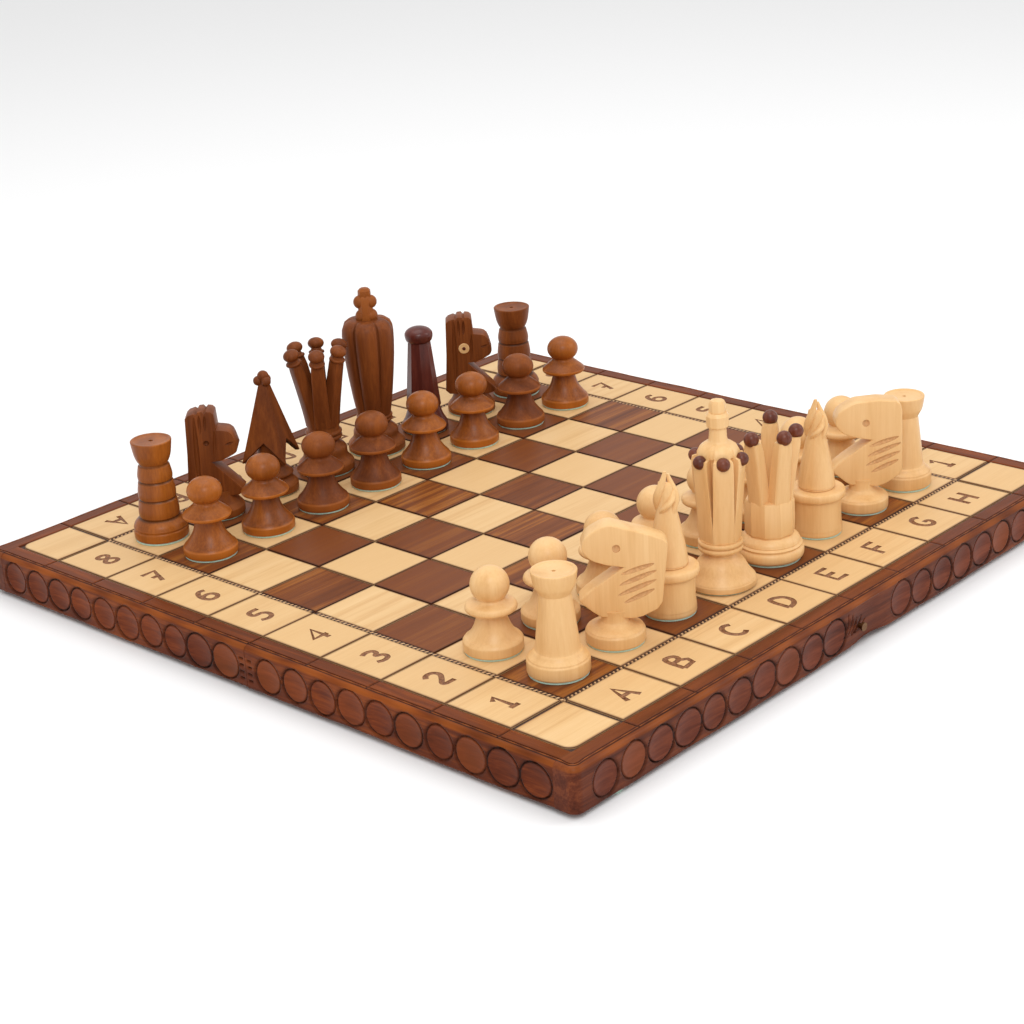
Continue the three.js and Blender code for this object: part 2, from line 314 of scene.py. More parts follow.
def board_wood(name, pale, middle, deep, plain, burned, roughness, specular):
    """A square of the playing surface. Its grain runs along X, and squares differ in their figure.

    The shade attribute goes from a quiet, even board at 0 to a boldly streaked one at 1.
    """
    n = Nodes(name)
    shift = n.attribute("shift")
    shade = n.attribute("shade")
    broad = n.noise(n.coordinates((6, 150, 90), shift), 1.0, 4, 0.6, 0.5)
    fibres = n.noise(n.coordinates((26, 1200, 800), shift), 1.0, 5, 0.75, 0.2)
    figure = n.weighted(broad, 0.62, fibres, 0.38)
    streaked = n.ramp(figure, [(0.36, deep), (0.5, middle), (0.62, pale)])
    quiet = n.ramp(fibres, [(0.3, plain), (0.7, middle)])
    colour = n.mix(shade, quiet, streaked)
    colour = n.mix(n.attribute("burn"), colour, burned)
    n.bump(fibres, 0.12, 0.00015)
    sheen = n.scaled(fibres, 0.2, roughness - 0.1)
    return n.finish(colour, sheen, specular=specular)


def frame_wood(name, axis, deep, middle, pale, dish_deep, dish_middle, dish_pale):
    """Dark stained and carved rail: reddish in the dished rings, almost black where it is burned."""
    n = Nodes(name)
    broad = n.noise(n.coordinates(grain_scale(axis, 90, 9)), 1.0, 4, 0.6, 1.0)
    fibres = n.noise(n.coordinates(grain_scale(axis, 700, 26)), 1.0, 5, 0.7)
    figure = n.weighted(broad, 0.6, fibres, 0.4)
    colour = n.ramp(figure, [(0.34, deep), (0.5, middle), (0.64, pale)])
    dish = n.ramp(figure, [(0.34, dish_deep), (0.5, dish_middle), (0.66, dish_pale)])
    colour = n.mix(n.attribute("dish"), colour, dish)
    colour = n.mix(n.attribute("tone"), colour, RUBBED_STAIN)
    colour = n.mix(n.attribute("burn"), colour, BURNED_STAIN)
    sheen = n.scaled(fibres, 0.2, 0.24)
    n.bump(n.math("ADD", fibres, n.math("MULTIPLY", broad, 0.8)), 0.3, 0.0003)
    return n.finish(colour, sheen, specular=0.09)


def brass(name, low, high):
    n = Nodes(name)
    scratches = n.noise(n.coordinates((300, 300, 2400)), 1.0, 4, 0.7)
    colour = n.ramp(scratches, [(0.3, low), (0.7, high)])
    n.shader.inputs["Metallic"].default_value = 1.0
    n.bump(scratches, 0.1, 0.0001)
    return n.finish(colour, n.scaled(scratches, 0.3, 0.18))


def felt(name, colour_low, colour_high):
    n = Nodes(name)
    fuzz = n.noise(n.coordinates((1, 1, 1)), 2600, 4, 0.8)
    clumps = n.noise(n.coordinates((1, 1, 1)), 500, 3, 0.6)
    colour = n.ramp(n.math("MULTIPLY", n.math("ADD", fuzz, clumps), 0.5),
                    [(0.35, colour_low), (0.65, colour_high)])
    n.shader.inputs["Sheen Weight"].default_value = 0.4
    n.bump(fuzz, 0.6, 0.0004)
    return n.finish(colour, 0.95, specular=0.2)


def char(name, dark, light):
    n = Nodes(name)
    soot = n.noise(n.coordinates((1, 1, 1)), 700, 4, 0.7)
    colour = n.ramp(soot, [(0.35, dark), (0.65, light)])
    n.bump(soot, 0.4, 0.0002)
    return n.finish(colour, 0.6)


MATERIALS = {
    "light": wood("light_men_wood", "Z", (0.82, 0.53, 0.25), (0.77, 0.47, 0.205), (0.68, 0.38, 0.145),
                  0.36, 0.3, 0.35),
    "dark": wood("dark_men_wood", "Z", (0.37, 0.108, 0.014), (0.24, 0.063, 0.009), (0.13, 0.033, 0.005),
                 0.34, 0.24, 0.4, worn=(0.46, 0.135, 0.015), burned=(0.016, 0.006, 0.003)),
    # Its burned colour is also the painted shade inside the brown bishop's hollow skirt
    "deep": wood("deep_stained_wood", "Z",
                 (0.27, 0.075, 0.015), (0.170, 0.044, 0.010), (0.098, 0.024, 0.006),
                 0.42, 0.14, 0.35, worn=(0.36, 0.105, 0.018), burned=(0.014, 0.005, 0.003)),
    "plum": wood("plum_stained_wood", "Z",
                 (0.14, 0.030, 0.018), (0.085, 0.016, 0.011), (0.040, 0.008, 0.006),
                 0.3, 0.35, 0.4),
    "bead": wood("bead_wood", "Z", (0.19, 0.048, 0.018), (0.125, 0.028, 0.012), (0.06, 0.013, 0.007),
                 0.34, 0.35, 0.4),
    "light_square": board_wood("light_square_wood", (0.76, 0.515, 0.262), (0.72, 0.467, 0.222),
                               (0.61, 0.355, 0.150), (0.68, 0.425, 0.190), (0.10, 0.032, 0.012), 0.45, 0.2),
    "dark_square": board_wood("dark_square_wood", (0.42, 0.155, 0.026), (0.195, 0.055, 0.013),
                              (0.075, 0.019, 0.006), (0.155, 0.045, 0.016), (0.028, 0.009, 0.005),
                              0.4, 0.14),
    "frame_x": frame_wood("frame_wood_x", "X", (0.045, 0.010, 0.005), (0.110, 0.026, 0.011),
                          (0.20, 0.052, 0.018), (0.060, 0.014, 0.008), (0.120, 0.030, 0.018),
                          (0.19, 0.050, 0.029)),
    "frame_y": frame_wood("frame_wood_y", "Y", (0.044, 0.008, 0.002), (0.115, 0.022, 0.005),
                          (0.24, 0.054, 0.009), (0.056, 0.010, 0.003), (0.122, 0.023, 0.007),
                          (0.215, 0.043, 0.012)),
    "char": char("burned_line", (0.022, 0.008, 0.004), (0.075, 0.025, 0.010)),
    "burned_sign": char("burned_sign", (0.13, 0.042, 0.014), (0.34, 0.15, 0.058)),
    "gouged": char("gouged_wood", (0.56, 0.29, 0.115), (0.72, 0.42, 0.18)),
    "brass": brass("brass_hardware", (0.52, 0.34, 0.11), (0.74, 0.53, 0.22)),
    "old_brass": brass("tarnished_brass", (0.10, 0.045, 0.018), (0.22, 0.11, 0.045)),
    "felt": felt("green_felt", (0.36, 0.56, 0.46), (0.56, 0.76, 0.64)),
    "rope_pale": wood("rope_pale_wood", "X", (0.72, 0.48, 0.27), (0.60, 0.36, 0.18), (0.4, 0.2, 0.08),
                      0.45, 0.2),
}


# ---------------------------------------------------------------- forms

# Attributes with one value for a whole face; the others vary from point to point
FACE_VALUES = ("shift", "shade")


class Form:
    """A mesh being built: points in millimetres, faces with a material number, and attributes.

    The form's shift is the stretch of grain that its solids show, unless they are given another.
    """

    def __init__(self, shift=0.0):
        self.shift = shift
        self.points = []
        self.faces = []
        self.finishes = []
        self.values = {key: [] for key in ("burn", "tone", "dish", *FACE_VALUES)}

    def add(self, points, faces, finish=0, **values):
        start = len(self.points)
        count = len(points)
        self.points.extend([tuple(map(float, p)) for p in points])
        self.faces.extend([tuple(start + i for i in face) for face in faces])
        self.finishes.extend([finish] * len(faces))
        values = {"shift": self.shift, **values}
        for key, store in self.values.items():
            given = values.get(key, 0.0)
            store.extend([float(given)] * count if np.isscalar(given) else [float(v) for v in given])

    def mesh(self, name, finishes, merge=0.0):
        mesh = bpy.data.meshes.new(name)
        mesh.from_pydata([(x * MM, y * MM, z * MM) for x, y, z in self.points], [], self.faces)
        mesh.polygons.foreach_set("material_index", self.finishes)
        for key, store in self.values.items():
            if key in FACE_VALUES:
                layer = mesh.attributes.new(key, "FLOAT", "FACE")
                layer.data.foreach_set("value", [store[face[0]] for face in self.faces])
            else:
                layer = mesh.attributes.new(key, "FLOAT", "POINT")
                layer.data.foreach_set("value", store)
        for finish in finishes:
            mesh.materials.append(MATERIALS[finish])
        bm = bmesh.new()
        bm.from_mesh(mesh)
        if merge:
            bmesh.ops.remove_doubles(bm, verts=bm.verts, dist=merge * MM)
        bmesh.ops.recalc_face_normals(bm, faces=bm.faces)
        bm.to_mesh(mesh)
        bm.free()
        mesh.update()
        return mesh


def soften(thing, angle=32.0):
    """Smooth shading where faces meet gently, crisp where they meet sharply."""
    mesh = thing.data
    mesh.polygons.foreach_set("use_smooth", [True] * len(mesh.polygons))
    mesh.set_sharp_from_angle(angle=radians(angle))


def show(mesh, place=(0, 0, 0), turn=0.0, sharp=32.0):
    """An object of that mesh at a place in millimetres, turned about the upright axis."""
    thing = put(mesh.name, mesh)
    thing.location = Vector(place) * MM
    thing.rotation_euler = (0, 0, radians(turn))
    soften(thing, sharp)
    return thing


def settle(thing, body, slot, *replaced):
    """Puts a piece on its body, in place of the CAD nodes that it stands for; the slot is not used."""
    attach(thing, body)
    if replaced:
        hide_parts(*replaced)


def apply_modifiers(thing):
    """Replaces the object's mesh by its shape after its modifiers."""
    shaped = thing.evaluated_get(bpy.context.evaluated_depsgraph_get())
    mesh = bpy.data.meshes.new_from_object(shaped)
    mesh.name = thing.data.name
    thing.modifiers.clear()
    thing.data = mesh


def carve(thing, tool):
    """Cuts another object's solid out of this one, and throws the tool away."""
    modifier = thing.modifiers.new("carve", "BOOLEAN")
    modifier.operation = "DIFFERENCE"
    modifier.object = tool
    modifier.solver = "EXACT"
    modifier.use_self = True
    modifier.material_mode = "TRANSFER"
    bpy.context.view_layer.update()
    apply_modifiers(thing)
    bpy.data.objects.remove(tool)


def arc(centre, radius, start, end, steps=8):
    """Points of a profile along a round stretch; radius may be a pair, across and up."""
    wide, high = radius if isinstance(radius, tuple) else (radius, radius)
    angles = [radians(start + (end - start) * i / steps) for i in range(steps + 1)]
    return [(centre[0] + wide * cos(a), centre[1] + high * sin(a)) for a in angles]


def curve(knots):
    """A smooth stretch of a profile through its knots."""
    points = [Vector(k) for k in knots]
    points = [2 * points[0] - points[1]] + points + [2 * points[-1] - points[-2]]
    drawn = []
    steps = 5
    for a, b, c, d in zip(points, points[1:], points[2:], points[3:]):
        for i in range(steps):
            t = i / steps
            drawn.append(tuple(0.5 * (2 * b + (c - a) * t + (2 * a - 5 * b + 4 * c - d) * t * t
                                      + (3 * b - a - 3 * c + d) * t ** 3)))
    return drawn + [tuple(knots[-1])]


def ringed(form, rings, finish=0, **values):
    """Joins rings of equally many points, closed at both ends by a single point."""
    count = len(rings[0])
    points = [p for ring in rings for p in ring]
    faces = []
    for level in range(len(rings) - 1):
        for i in range(count):
            j = (i + 1) % count
            low, high = level * count, (level + 1) * count
            faces.append((low + i, low + j, high + j, high + i))
    faces.append(tuple(reversed(range(count))))
    faces.append(tuple(range((len(rings) - 1) * count, len(rings) * count)))
    form.add(points, faces, finish, **values)


def circle(count, radius=1.0, phase=0.0):
    """Points at even steps round a circle, as (x, y)."""
    angles = [phase + 2 * pi * i / count for i in range(count)]
    return [(radius * cos(angle), radius * sin(angle)) for angle in angles]


def turned(form, profile, segments=TURN_SEGMENTS, tones=None, burns=None, phase=0.0):
    """A turned solid. The profile runs from the underside to the top and never meets the axis."""
    rings = [[(x, y, height) for x, y in circle(segments, radius, phase)] for radius, height in profile]
    values = {}
    for key, rule in (("tone", tones), ("burn", burns)):
        if rule:
            values[key] = [rule(r, z) for r, z in profile for _ in range(segments)]
    ringed(form, rings, **values)


def ball(form, centre, radius, tone=0.0):
    ringed(form, [[(centre[0] + x, centre[1] + y, centre[2] + z) for x, y in circle(28, r)]
                  for r, z in arc((0, 0), radius, -88, 88, 16)], tone=tone)


def near(value, middle, reach):
    """1 at the middle, falling to 0 at its reach."""
    return max(0.0, 1.0 - abs(value - middle) / reach)


# ---------------------------------------------------------------- playing surface

def tile_points(x0, x1, y0, y1, corner):
    """Outline of a tile, with its outer corner rounded where corner names it."""
    outline = []
    for x, y in ((x0, y0), (x1, y0), (x1, y1), (x0, y1)):
        if corner and corner[0] == (x > (x0 + x1) / 2) and corner[1] == (y > (y0 + y1) / 2):
            cx = x - TILE_CORNER if corner[0] else x + TILE_CORNER
            cy = y - TILE_CORNER if corner[1] else y + TILE_CORNER
            start = {(True, True): 0, (False, True): 90, (False, False): 180, (True, False): 270}[corner]
            outline.extend(arc((cx, cy), TILE_CORNER, start, start + 90, 6))
        else:
            outline.append((x, y))
    return outline


def inset(outline, amount):
    """The outline moved inward by the same amount all round."""
    count = len(outline)
    moved = []
    for i in range(count):
        a, b, c = (Vector(outline[k]) for k in ((i - 1) % count, i, (i + 1) % count))
        u = (b - a).normalized()
        v = (c - b).normalized()
        bisector = Vector((-u.y - v.y, u.x + v.x))
        bisector = bisector / max(1e-6, 1 + u.dot(v))
        moved.append(tuple(b + bisector * amount))
    return moved


def tile(form, x0, x1, y0, y1, finish, tone, shift, corner=None):
    """A square with softened, scorched edges, standing in the burned grooves around it."""
    outline = tile_points(x0, x1, y0, y1, corner)
    levels = [(0.0, BOARD_TOP - GROOVE_DEPTH - 0.6, 1.0), (0.0, BOARD_TOP - 0.28, 1.0),
              (0.25, BOARD_TOP - 0.03, 0.8), (0.7, BOARD_TOP, 0.28), (SCORCH, BOARD_TOP, 0.0)]
    rings = [[(x, y, z) for x, y in inset(outline, amount)] for amount, z, _ in levels]
    burn = [b for _, _, b in levels for _ in outline]
    ringed(form, rings, finish, burn=burn, shade=tone, shift=shift)


STROKES = {
    "A": [[(0, 0), (2, 6), (4, 0)], [(0.8, 2.2), (3.2, 2.2)]],
    "B": [[(0, 0), (0, 6), (2.6, 5.8), (3.2, 4.6), (2.4, 3.3), (0, 3.2)],
          [(2.4, 3.3), (3.8, 2.2), (3.4, 0.5), (0, 0)]],
    "C": [[(3.8, 5.2), (2.4, 6), (0.7, 5.2), (0, 3), (0.7, 0.8), (2.4, 0), (3.8, 0.8)]],
    "D": [[(0, 0), (0, 6), (2.2, 5.7), (3.8, 4.2), (3.8, 1.8), (2.2, 0.3), (0, 0)]],
    "E": [[(3.6, 6), (0, 6), (0, 0), (3.6, 0)], [(0, 3.1), (2.8, 3.1)]],
    "F": [[(3.6, 6), (0, 6), (0, 0)], [(0, 3.1), (2.8, 3.1)]],
    "G": [[(3.8, 5.2), (2.4, 6), (0.7, 5.2), (0, 3), (0.7, 0.8), (2.4, 0), (3.8, 0.9), (3.8, 2.6),
           (2.2, 2.6)]],
    "H": [[(0, 0), (0, 6)], [(4, 0), (4, 6)], [(0, 3), (4, 3)]],
    "1": [[(0.8, 4.7), (2.2, 6), (2.2, 0)], [(0.9, 0), (3.5, 0)]],
    "2": [[(0.2, 4.8), (1.2, 6), (3, 6), (3.8, 4.6), (3.2, 3.1), (0, 0), (3.9, 0)]],
    "3": [[(0.2, 5.4), (1.6, 6), (3.3, 5.5), (3.3, 4), (1.7, 3.2), (3.7, 2.3), (3.5, 0.6), (1.6, 0),
           (0.1, 0.7)]],
    "4": [[(3, 0), (3, 6), (0, 1.8), (4, 1.8)]],
    "5": [[(3.6, 6), (0.5, 6), (0.3, 3.4), (2.5, 3.7), (3.8, 2.4), (3.2, 0.4), (1.4, 0), (0.1, 0.7)]],
    "6": [[(3.4, 5.6), (1.8, 6), (0.5, 4.4), (0, 2), (0.8, 0.2), (2.6, 0), (3.8, 1.4), (3.2, 3),
           (1.6, 3.4), (0.2, 2.4)]],
    "7": [[(0.1, 6), (3.9, 6), (1.6, 0)], [(0.9, 3), (3.2, 3)]],
    "8": [[(2, 3.2), (0.5, 4.4), (1, 5.8), (3, 5.8), (3.5, 4.4), (2, 3.2), (0.2, 1.8), (0.8, 0.2),
           (3.2, 0.2), (3.8, 1.8), (2, 3.2)]],
}


def rounded(stroke):
    """A stroke with its corners cut twice over; short strokes stay as they are."""
    if len(stroke) < 5:
        return stroke
    for _ in range(2):
        cut = [stroke[0]]
        for (u0, v0), (u1, v1) in zip(stroke, stroke[1:]):
            cut += [(0.75 * u0 + 0.25 * u1, 0.75 * v0 + 0.25 * v1),
                    (0.25 * u0 + 0.75 * u1, 0.25 * v0 + 0.75 * v1)]
        stroke = cut + [stroke[-1]]
    return stroke


def glyph(letter, x, y, turn):
    """The burning tool's path for one sign, as round rods laid along the surface."""
    data = bpy.data.curves.new("glyph_path", "CURVE")
    data.dimensions = "3D"
    data.bevel_depth = GLYPH_RADIUS * MM
    data.bevel_resolution = 2
    data.use_fill_caps = True
    unit = GLYPH_HEIGHT / 6
    spin = radians(turn)
    for stroke in map(rounded, STROKES[letter]):
        spline = data.splines.new("POLY")
        spline.points.add(len(stroke) - 1)
        for point, (u, v) in zip(spline.points, stroke):
            u, v = (u - 2) * unit, (v - 3) * unit
            px = x + u * cos(spin) - v * sin(spin)
            py = y + u * sin(spin) + v * cos(spin)
            point.co = (px * MM, py * MM, (BOARD_TOP + GLYPH_LIFT) * MM, 1)
    rods = put("glyph_path", data)
    bpy.context.view_layer.update()
    mesh = bpy.data.meshes.new_from_object(rods.evaluated_get(bpy.context.evaluated_depsgraph_get()))
    mesh.materials.clear()
    mesh.materials.append(MATERIALS["burned_sign"])
    bpy.data.objects.remove(rods)
    return put("glyph_cut", mesh)


def strips(side):
    """Where the tiles of one half lie along Y, as (start, end, rank), with 0 and 9 for the border."""
    ranks = range(1, 5) if side < 0 else range(5, 9)
    bands = [((rank - 5) * SQUARE, (rank - 4) * SQUARE, rank) for rank in ranks]
    bands.append((-PANEL_EDGE, -FIELD, 0) if side < 0 else (FIELD, PANEL_EDGE, 9))
    return bands


def margin(edge):
    """How far a tile stops short of a line, so that the line stays open."""
    if abs(abs(edge) - FIELD) < 0.01:
        return ROPE_HALF + 0.15
    if abs(edge) < 0.01:
        return FOLD_GAP + 0.1
    return LINE_HALF


def playing_half(half, side):
    """One half's squares and border on a charred ground, with the signs burned in."""
    random.seed(11 if side < 0 else 12)
    form = Form()
    y_low, y_high = (-PANEL_EDGE, -FOLD_GAP) if side < 0 else (FOLD_GAP, PANEL_EDGE)
    base_top = BOARD_TOP - GROOVE_DEPTH
    base = [(-PANEL_EDGE, y_low), (PANEL_EDGE, y_low), (PANEL_EDGE, y_high), (-PANEL_EDGE, y_high)]
    burned_top = base_top - 0.5
    ringed(form, [[(x, y, PANEL_LOW.z) for x, y in base], [(x, y, burned_top) for x, y in base]], 1)
    ringed(form, [[(x, y, burned_top) for x, y in base], [(x, y, base_top) for x, y in base]], 0, burn=0.7)
    columns = [(-PANEL_EDGE, -FIELD, 0)]
    columns += [((i - 4) * SQUARE, (i - 3) * SQUARE, i + 1) for i in range(8)]
    columns.append((FIELD, PANEL_EDGE, 9))
    signs = []
    for y0, y1, rank in strips(side):
        for x0, x1, file in columns:
            border = file in (0, 9) or rank in (0, 9)
            dark = not border and (file + rank) % 2 == 0
            edges = [x0 + margin(x0), x1 - margin(x1), y0 + margin(y0), y1 - margin(y1)]
            tone = random.random()
            shift = random.random()
            corner = (file == 9, rank == 9) if file in (0, 9) and rank in (0, 9) else None
            tile(form, *edges, 2 if dark else 1, tone, shift, corner)
            centre = ((edges[0] + edges[1]) / 2, (edges[2] + edges[3]) / 2)
            if rank in (0, 9) and corner is None:
                signs.append((FILES[file - 1].upper(), *centre, 0 if rank == 0 else 180))
            elif file in (0, 9) and corner is None:
                signs.append((str(rank), *centre, 0))
    surface = show(form.mesh(f"{half}_playing_surface", ["char", "light_square", "dark_square"]))
    for letter, x, y, turn in signs:
        carve(surface, glyph(letter, x, y, turn))
    soften(surface)
    settle(surface, f"{half}_half", "board_wood", f"{half}_panel")


def rope_line(half, side):
    """Slanting pale and dark stitches that run round the field of squares."""
    form = Form()
    top = BOARD_TOP - 0.12
    low = BOARD_TOP - GROOVE_DEPTH - 0.1
    reach = 0.42 * ROPE_PITCH
    wide = ROPE_HALF - 0.25
    stitch = ((-reach - STITCH_SLANT, -wide), (reach - STITCH_SLANT, -wide),
              (reach + STITCH_SLANT, wide), (-reach + STITCH_SLANT, wide))
    count = int(FIELD / ROPE_PITCH)
    runs = [((-FIELD, 0), (0, side), count), ((FIELD, 0), (0, side), count)]
    runs.append(((-FIELD, side * FIELD), (1, 0), 2 * count))
    for (x, y), (dx, dy), length in runs:
        for i in range(length):
            along = (i + 0.5) * ROPE_PITCH
            if dy and along < FOLD_CLEARANCE:
                continue
            cx, cy = x + dx * along, y + dy * along
            outline = [(cx + u * dx - v * dy, cy + u * dy + v * dx) for u, v in stitch]
            if dy < 0:
                outline.reverse()
            rings = [[(px, py, low) for px, py in outline], [(px, py, top - 0.2) for px, py in outline],
                     [(px, py, top) for px, py in inset(outline, 0.16)]]
            ringed(form, rings, i % 2, shift=i * 0.01)
    line = show(form.mesh(f"{half}_rope_line", ["rope_pale", "char"]))
    settle(line, f"{half}_half", "board_wood")


# ---------------------------------------------------------------- carved rails

def outline_walk(side):
    """Outer edge of an end rail from one side rail round to the other: point, outward, inner point."""
    y_out = side * HALF_BOARD
    y_in = side * RAIL_INNER
    y_seam = side * (RAIL_INNER - 0.28)
    stations = []
    corner_x = HALF_BOARD - CORNER_RADIUS
    corner_y = side * (HALF_BOARD - CORNER_RADIUS)

    def corner(hand):
        found = []
        length = abs(corner_y - y_seam)
        for i in range(int(length / STATION_STEP)):
            y = y_seam + side * i * STATION_STEP
            found.append(((hand * HALF_BOARD, y), (hand, 0)))
        turns = int(CORNER_RADIUS * pi / 2 / STATION_STEP)
        for i in range(turns):
            angle = pi / 2 * i / turns
            out = (hand * cos(angle), side * sin(angle))
            point = (hand * corner_x + out[0] * CORNER_RADIUS, corner_y + out[1] * CORNER_RADIUS)
            found.append((point, out))
        return [(point, out, (hand * RAIL_INNER, y_seam)) for point, out in found]

    first = corner(-1)
    count = int(2 * corner_x / STATION_STEP)
    for i in range(count + 1):
        x = -corner_x + 2 * corner_x * i / count
        inner_x = max(-RAIL_INNER, min(RAIL_INNER, x))
        stations.append(((x, y_out), (0, side), (inner_x, y_seam if abs(x) > RAIL_INNER else y_in)))
    return first + stations + list(reversed(corner(1)))


def straight_walk(side, hand):
    """Outer edge of a side rail, from the fold to the end rail."""
    length = RAIL_INNER - 0.3 - FOLD_GAP
    count = int(length / STATION_STEP)
    stations = []
    for i in range(count + 1):
        y = side * (FOLD_GAP + length * i / count)
        stations.append(((hand * HALF_BOARD, y), (hand, 0), (hand * RAIL_INNER, y)))
    return stations


def waviness(along, phase):
    """How a hand-planed edge wanders along a rail, from about -1 to 1."""
    return (0.5 * sin(along / 23.0 + phase) + 0.35 * sin(along / 9.7 + 2.1 * phase)
            + 0.15 * sin(along / 4.1 + phase))


def scatter(k, salt):
    """A number from -1 to 1 that looks random and is the same every time."""
    value = sin(k * 12.9898 + salt * 78.233) * 43758.5453
    return 2 * (value % 1.0) - 1


def ring_row(first, count, salt, left_out=None):
    """Places and sizes of a row of carved rings, as uneven as hand work."""
    row = []
    for i in range(count):
        centre = first + i * RING_PITCH
        if left_out and left_out[0] < centre < left_out[1]:
            continue
        row.append({
            "at": centre + 0.5 * scatter(i, salt),
            "height": RING_HEIGHT + 0.5 * scatter(i, salt + 1),
            "radius": RING_RADIUS + 0.35 * scatter(i, salt + 2),
            "squash": 1 + 0.05 * scatter(i, salt + 3),
            "burn": 0.8 + 0.2 * scatter(i, salt + 4),
            "red": 0.5 + 0.5 * scatter(i, salt + 5),
        })
    return row


def ring_pattern(along, height, row):
    """Depth, burn, dish and tone of the carved rings at a place on a rail's face."""
    depth = burn = dish = tone = 0.0
    for ring in row:
        dx = (along - ring["at"]) * ring["squash"]
        if abs(dx) > RING_RADIUS + 2:
            continue
        distance = hypot(dx, height - ring["height"])
        line = near(distance, ring["radius"], RING_LINE)
        if line > 0:
            burn = max(burn, ring["burn"] * min(1.0, 1.5 * line))
            depth = max(depth, RING_CUT * min(1.0, 1.6 * line))
        if distance < ring["radius"]:
            share = distance / ring["radius"]
            dish = 0.35 + 0.65 * ring["red"]
            tone = 0.25 * ring["red"] ** 3
            depth = max(depth, DISH_CUT * (1 - share * share) + DISH_RIM)
        else:
            burn = max(burn, 0.42 * near(distance, ring["radius"], 2.5))
    return depth, burn, dish, tone


def leaf_cuts(along, height, place):
    """Curved leaf-like cuts, fanned out where a row of rings breaks off."""
    best = 0.0
    for i in range(5):
        u = along - place - 2.6 * i
        v = height - RING_HEIGHT + 1.2 * i - 2.4
        lean = radians(75 - 12 * i)
        length = u * cos(lean) + v * sin(lean)
        off = abs(u * sin(lean) - v * cos(lean) + 0.045 * length * length)
        reach = 5.5 + 1.5 * scatter(i, 40 + place)
        if abs(length) < reach:
            best = max(best, 1 - off / (0.8 * (1.05 - abs(length) / reach)))
    return max(0.0, best)


def seam_marks(along, height):
    """Short burned dashes one above another, next to the fold."""
    if not 1.6 < abs(along) < 4.6:
        return 0.0
    return max(near(height, level, 0.8) for level in (7.0, 10.5, 14.0, 17.5))


def top_marks(place):
    """Burn across the inner strip at each line of the border."""
    return max(near(place, k * SQUARE, 0.75) for k in range(-4, 5))


def rail_section(width):
    """Points of a rail's section from its inner bottom edge over the top to its outer bottom edge.

    Each is (distance from the outer face, height, kind).
    """
    section = [(width, RIM_BOTTOM, "inner"), (width, BOARD_TOP - 0.35, "inner"),
               (width - 0.35, BOARD_TOP - 0.05, "strip")]
    steps = 8
    for i in range(1, steps + 1):
        distance = width - 0.35 - (width - 0.35 - STRIP_EDGE) * i / steps
        section.append((distance, BOARD_TOP, "strip"))
    section += [(4.15, BOARD_TOP - 0.55, "line"), (3.7, BOARD_TOP - 0.1, "ridge"),
                (3.3, BOARD_TOP - 0.05, "ridge"), (2.9, BOARD_TOP - 0.4, "line")]
    section += [(2.3, BOARD_TOP - 0.35, "edge"), (1.5, BOARD_TOP - 0.75, "edge"),
                (0.8, BOARD_TOP - 1.4, "edge"), (0.3, BOARD_TOP - 2.2, "edge")]
    face_top, face_low = BOARD_TOP - 3.0, RIM_BOTTOM + 0.7
    for i in range(FACE_STEPS + 1):
        section.append((0.0, face_top + (face_low - face_top) * i / FACE_STEPS, "face"))
    section += [(0.35, RIM_BOTTOM + 0.2, "foot"), (0.9, RIM_BOTTOM, "foot")]
    return section


def carved_rail(name, stations, finish, along_y, row, phase, extra=None):
    """A rail built station by station, with its rings, burned lines and wavering lower edge."""
    form = Form()
    rings = []
    values = {"burn": [], "dish": [], "tone": []}
    for point, out, inner in stations:
        point, out, inner = Vector(point), Vector(out), Vector(inner)
        span = point - inner
        width = span.length
        along = point.y if along_y or abs(out.x) > 0.75 else point.x
        sway = waviness(along, phase)
        cross = top_marks(along)
        worn = worn_amount(along) if extra else 0.0
        plain = abs(out.x) > 0.05 and not along_y
        ring = []
        for distance, height, kind in rail_section(width):
            burn = dish = tone = 0.0
            place = inner + span * (1 - distance / width)
            if kind == "strip":
                burn = max(cross, 0.06)
                tone = 0.16
                height -= 0.7 * cross
            elif kind == "line":
                burn = 0.9
            elif kind == "ridge":
                tone = 0.7 * (0.6 + 0.4 * sin(along * 0.7)) * (1 - cross)
                burn = cross
            elif kind == "edge":
                tone = 0.30 + 0.15 * sin(along * 0.21 + phase)
                height -= 0.25 * sway
            elif kind == "face":
                depth = 0.0
                if not plain:
                    depth, burn, dish, tone = ring_pattern(along, height, row)
                cut = seam_marks(along, height) if along_y else extra(along, height) if extra else 0.0
                burn, depth = max(burn, 0.8 * cut), max(depth, RING_CUT * cut)
                place = place - out * (depth + 0.15 + 0.12 * sway + 0.7 * worn)
            if height < RIM_BOTTOM + 6:
                rise = max(0.0, 0.25 + 0.45 * sway) + 2.2 * worn
                height += rise * (RIM_BOTTOM + 6 - height) / 6
            ring.append((place.x, place.y, height))
            values["burn"].append(burn)
            values["dish"].append(dish)
            values["tone"].append(tone)
        rings.append(ring)
    ringed(form, rings, 0, **values)
    return show(form.mesh(name, [finish], merge=0.01), sharp=50)


def worn_amount(along):
    """How much of the edge has been worn away, strongest in the middle of the plain stretch."""
    low, high = WORN_STRETCH
    share = (along - low) / (high - low)
    return sin(pi * share) ** 2 if 0 < share < 1 else 0.0


def end_rail(half, side):
    front = side < 0
    row = ring_row(-10 * RING_PITCH, 21, 3 if front else 17, WORN_STRETCH if front else None)

    def worn_cuts(along, height):
        return leaf_cuts(along, height, WORN_STRETCH[0] + 2)

    rail = carved_rail(f"{half}_carved_end_rail", outline_walk(side), "frame_x", False, row,
                       1.3 if front else 2.9, worn_cuts if front else None)
    settle(rail, f"{half}_half", "frame_wood", f"{half}_end_rail")


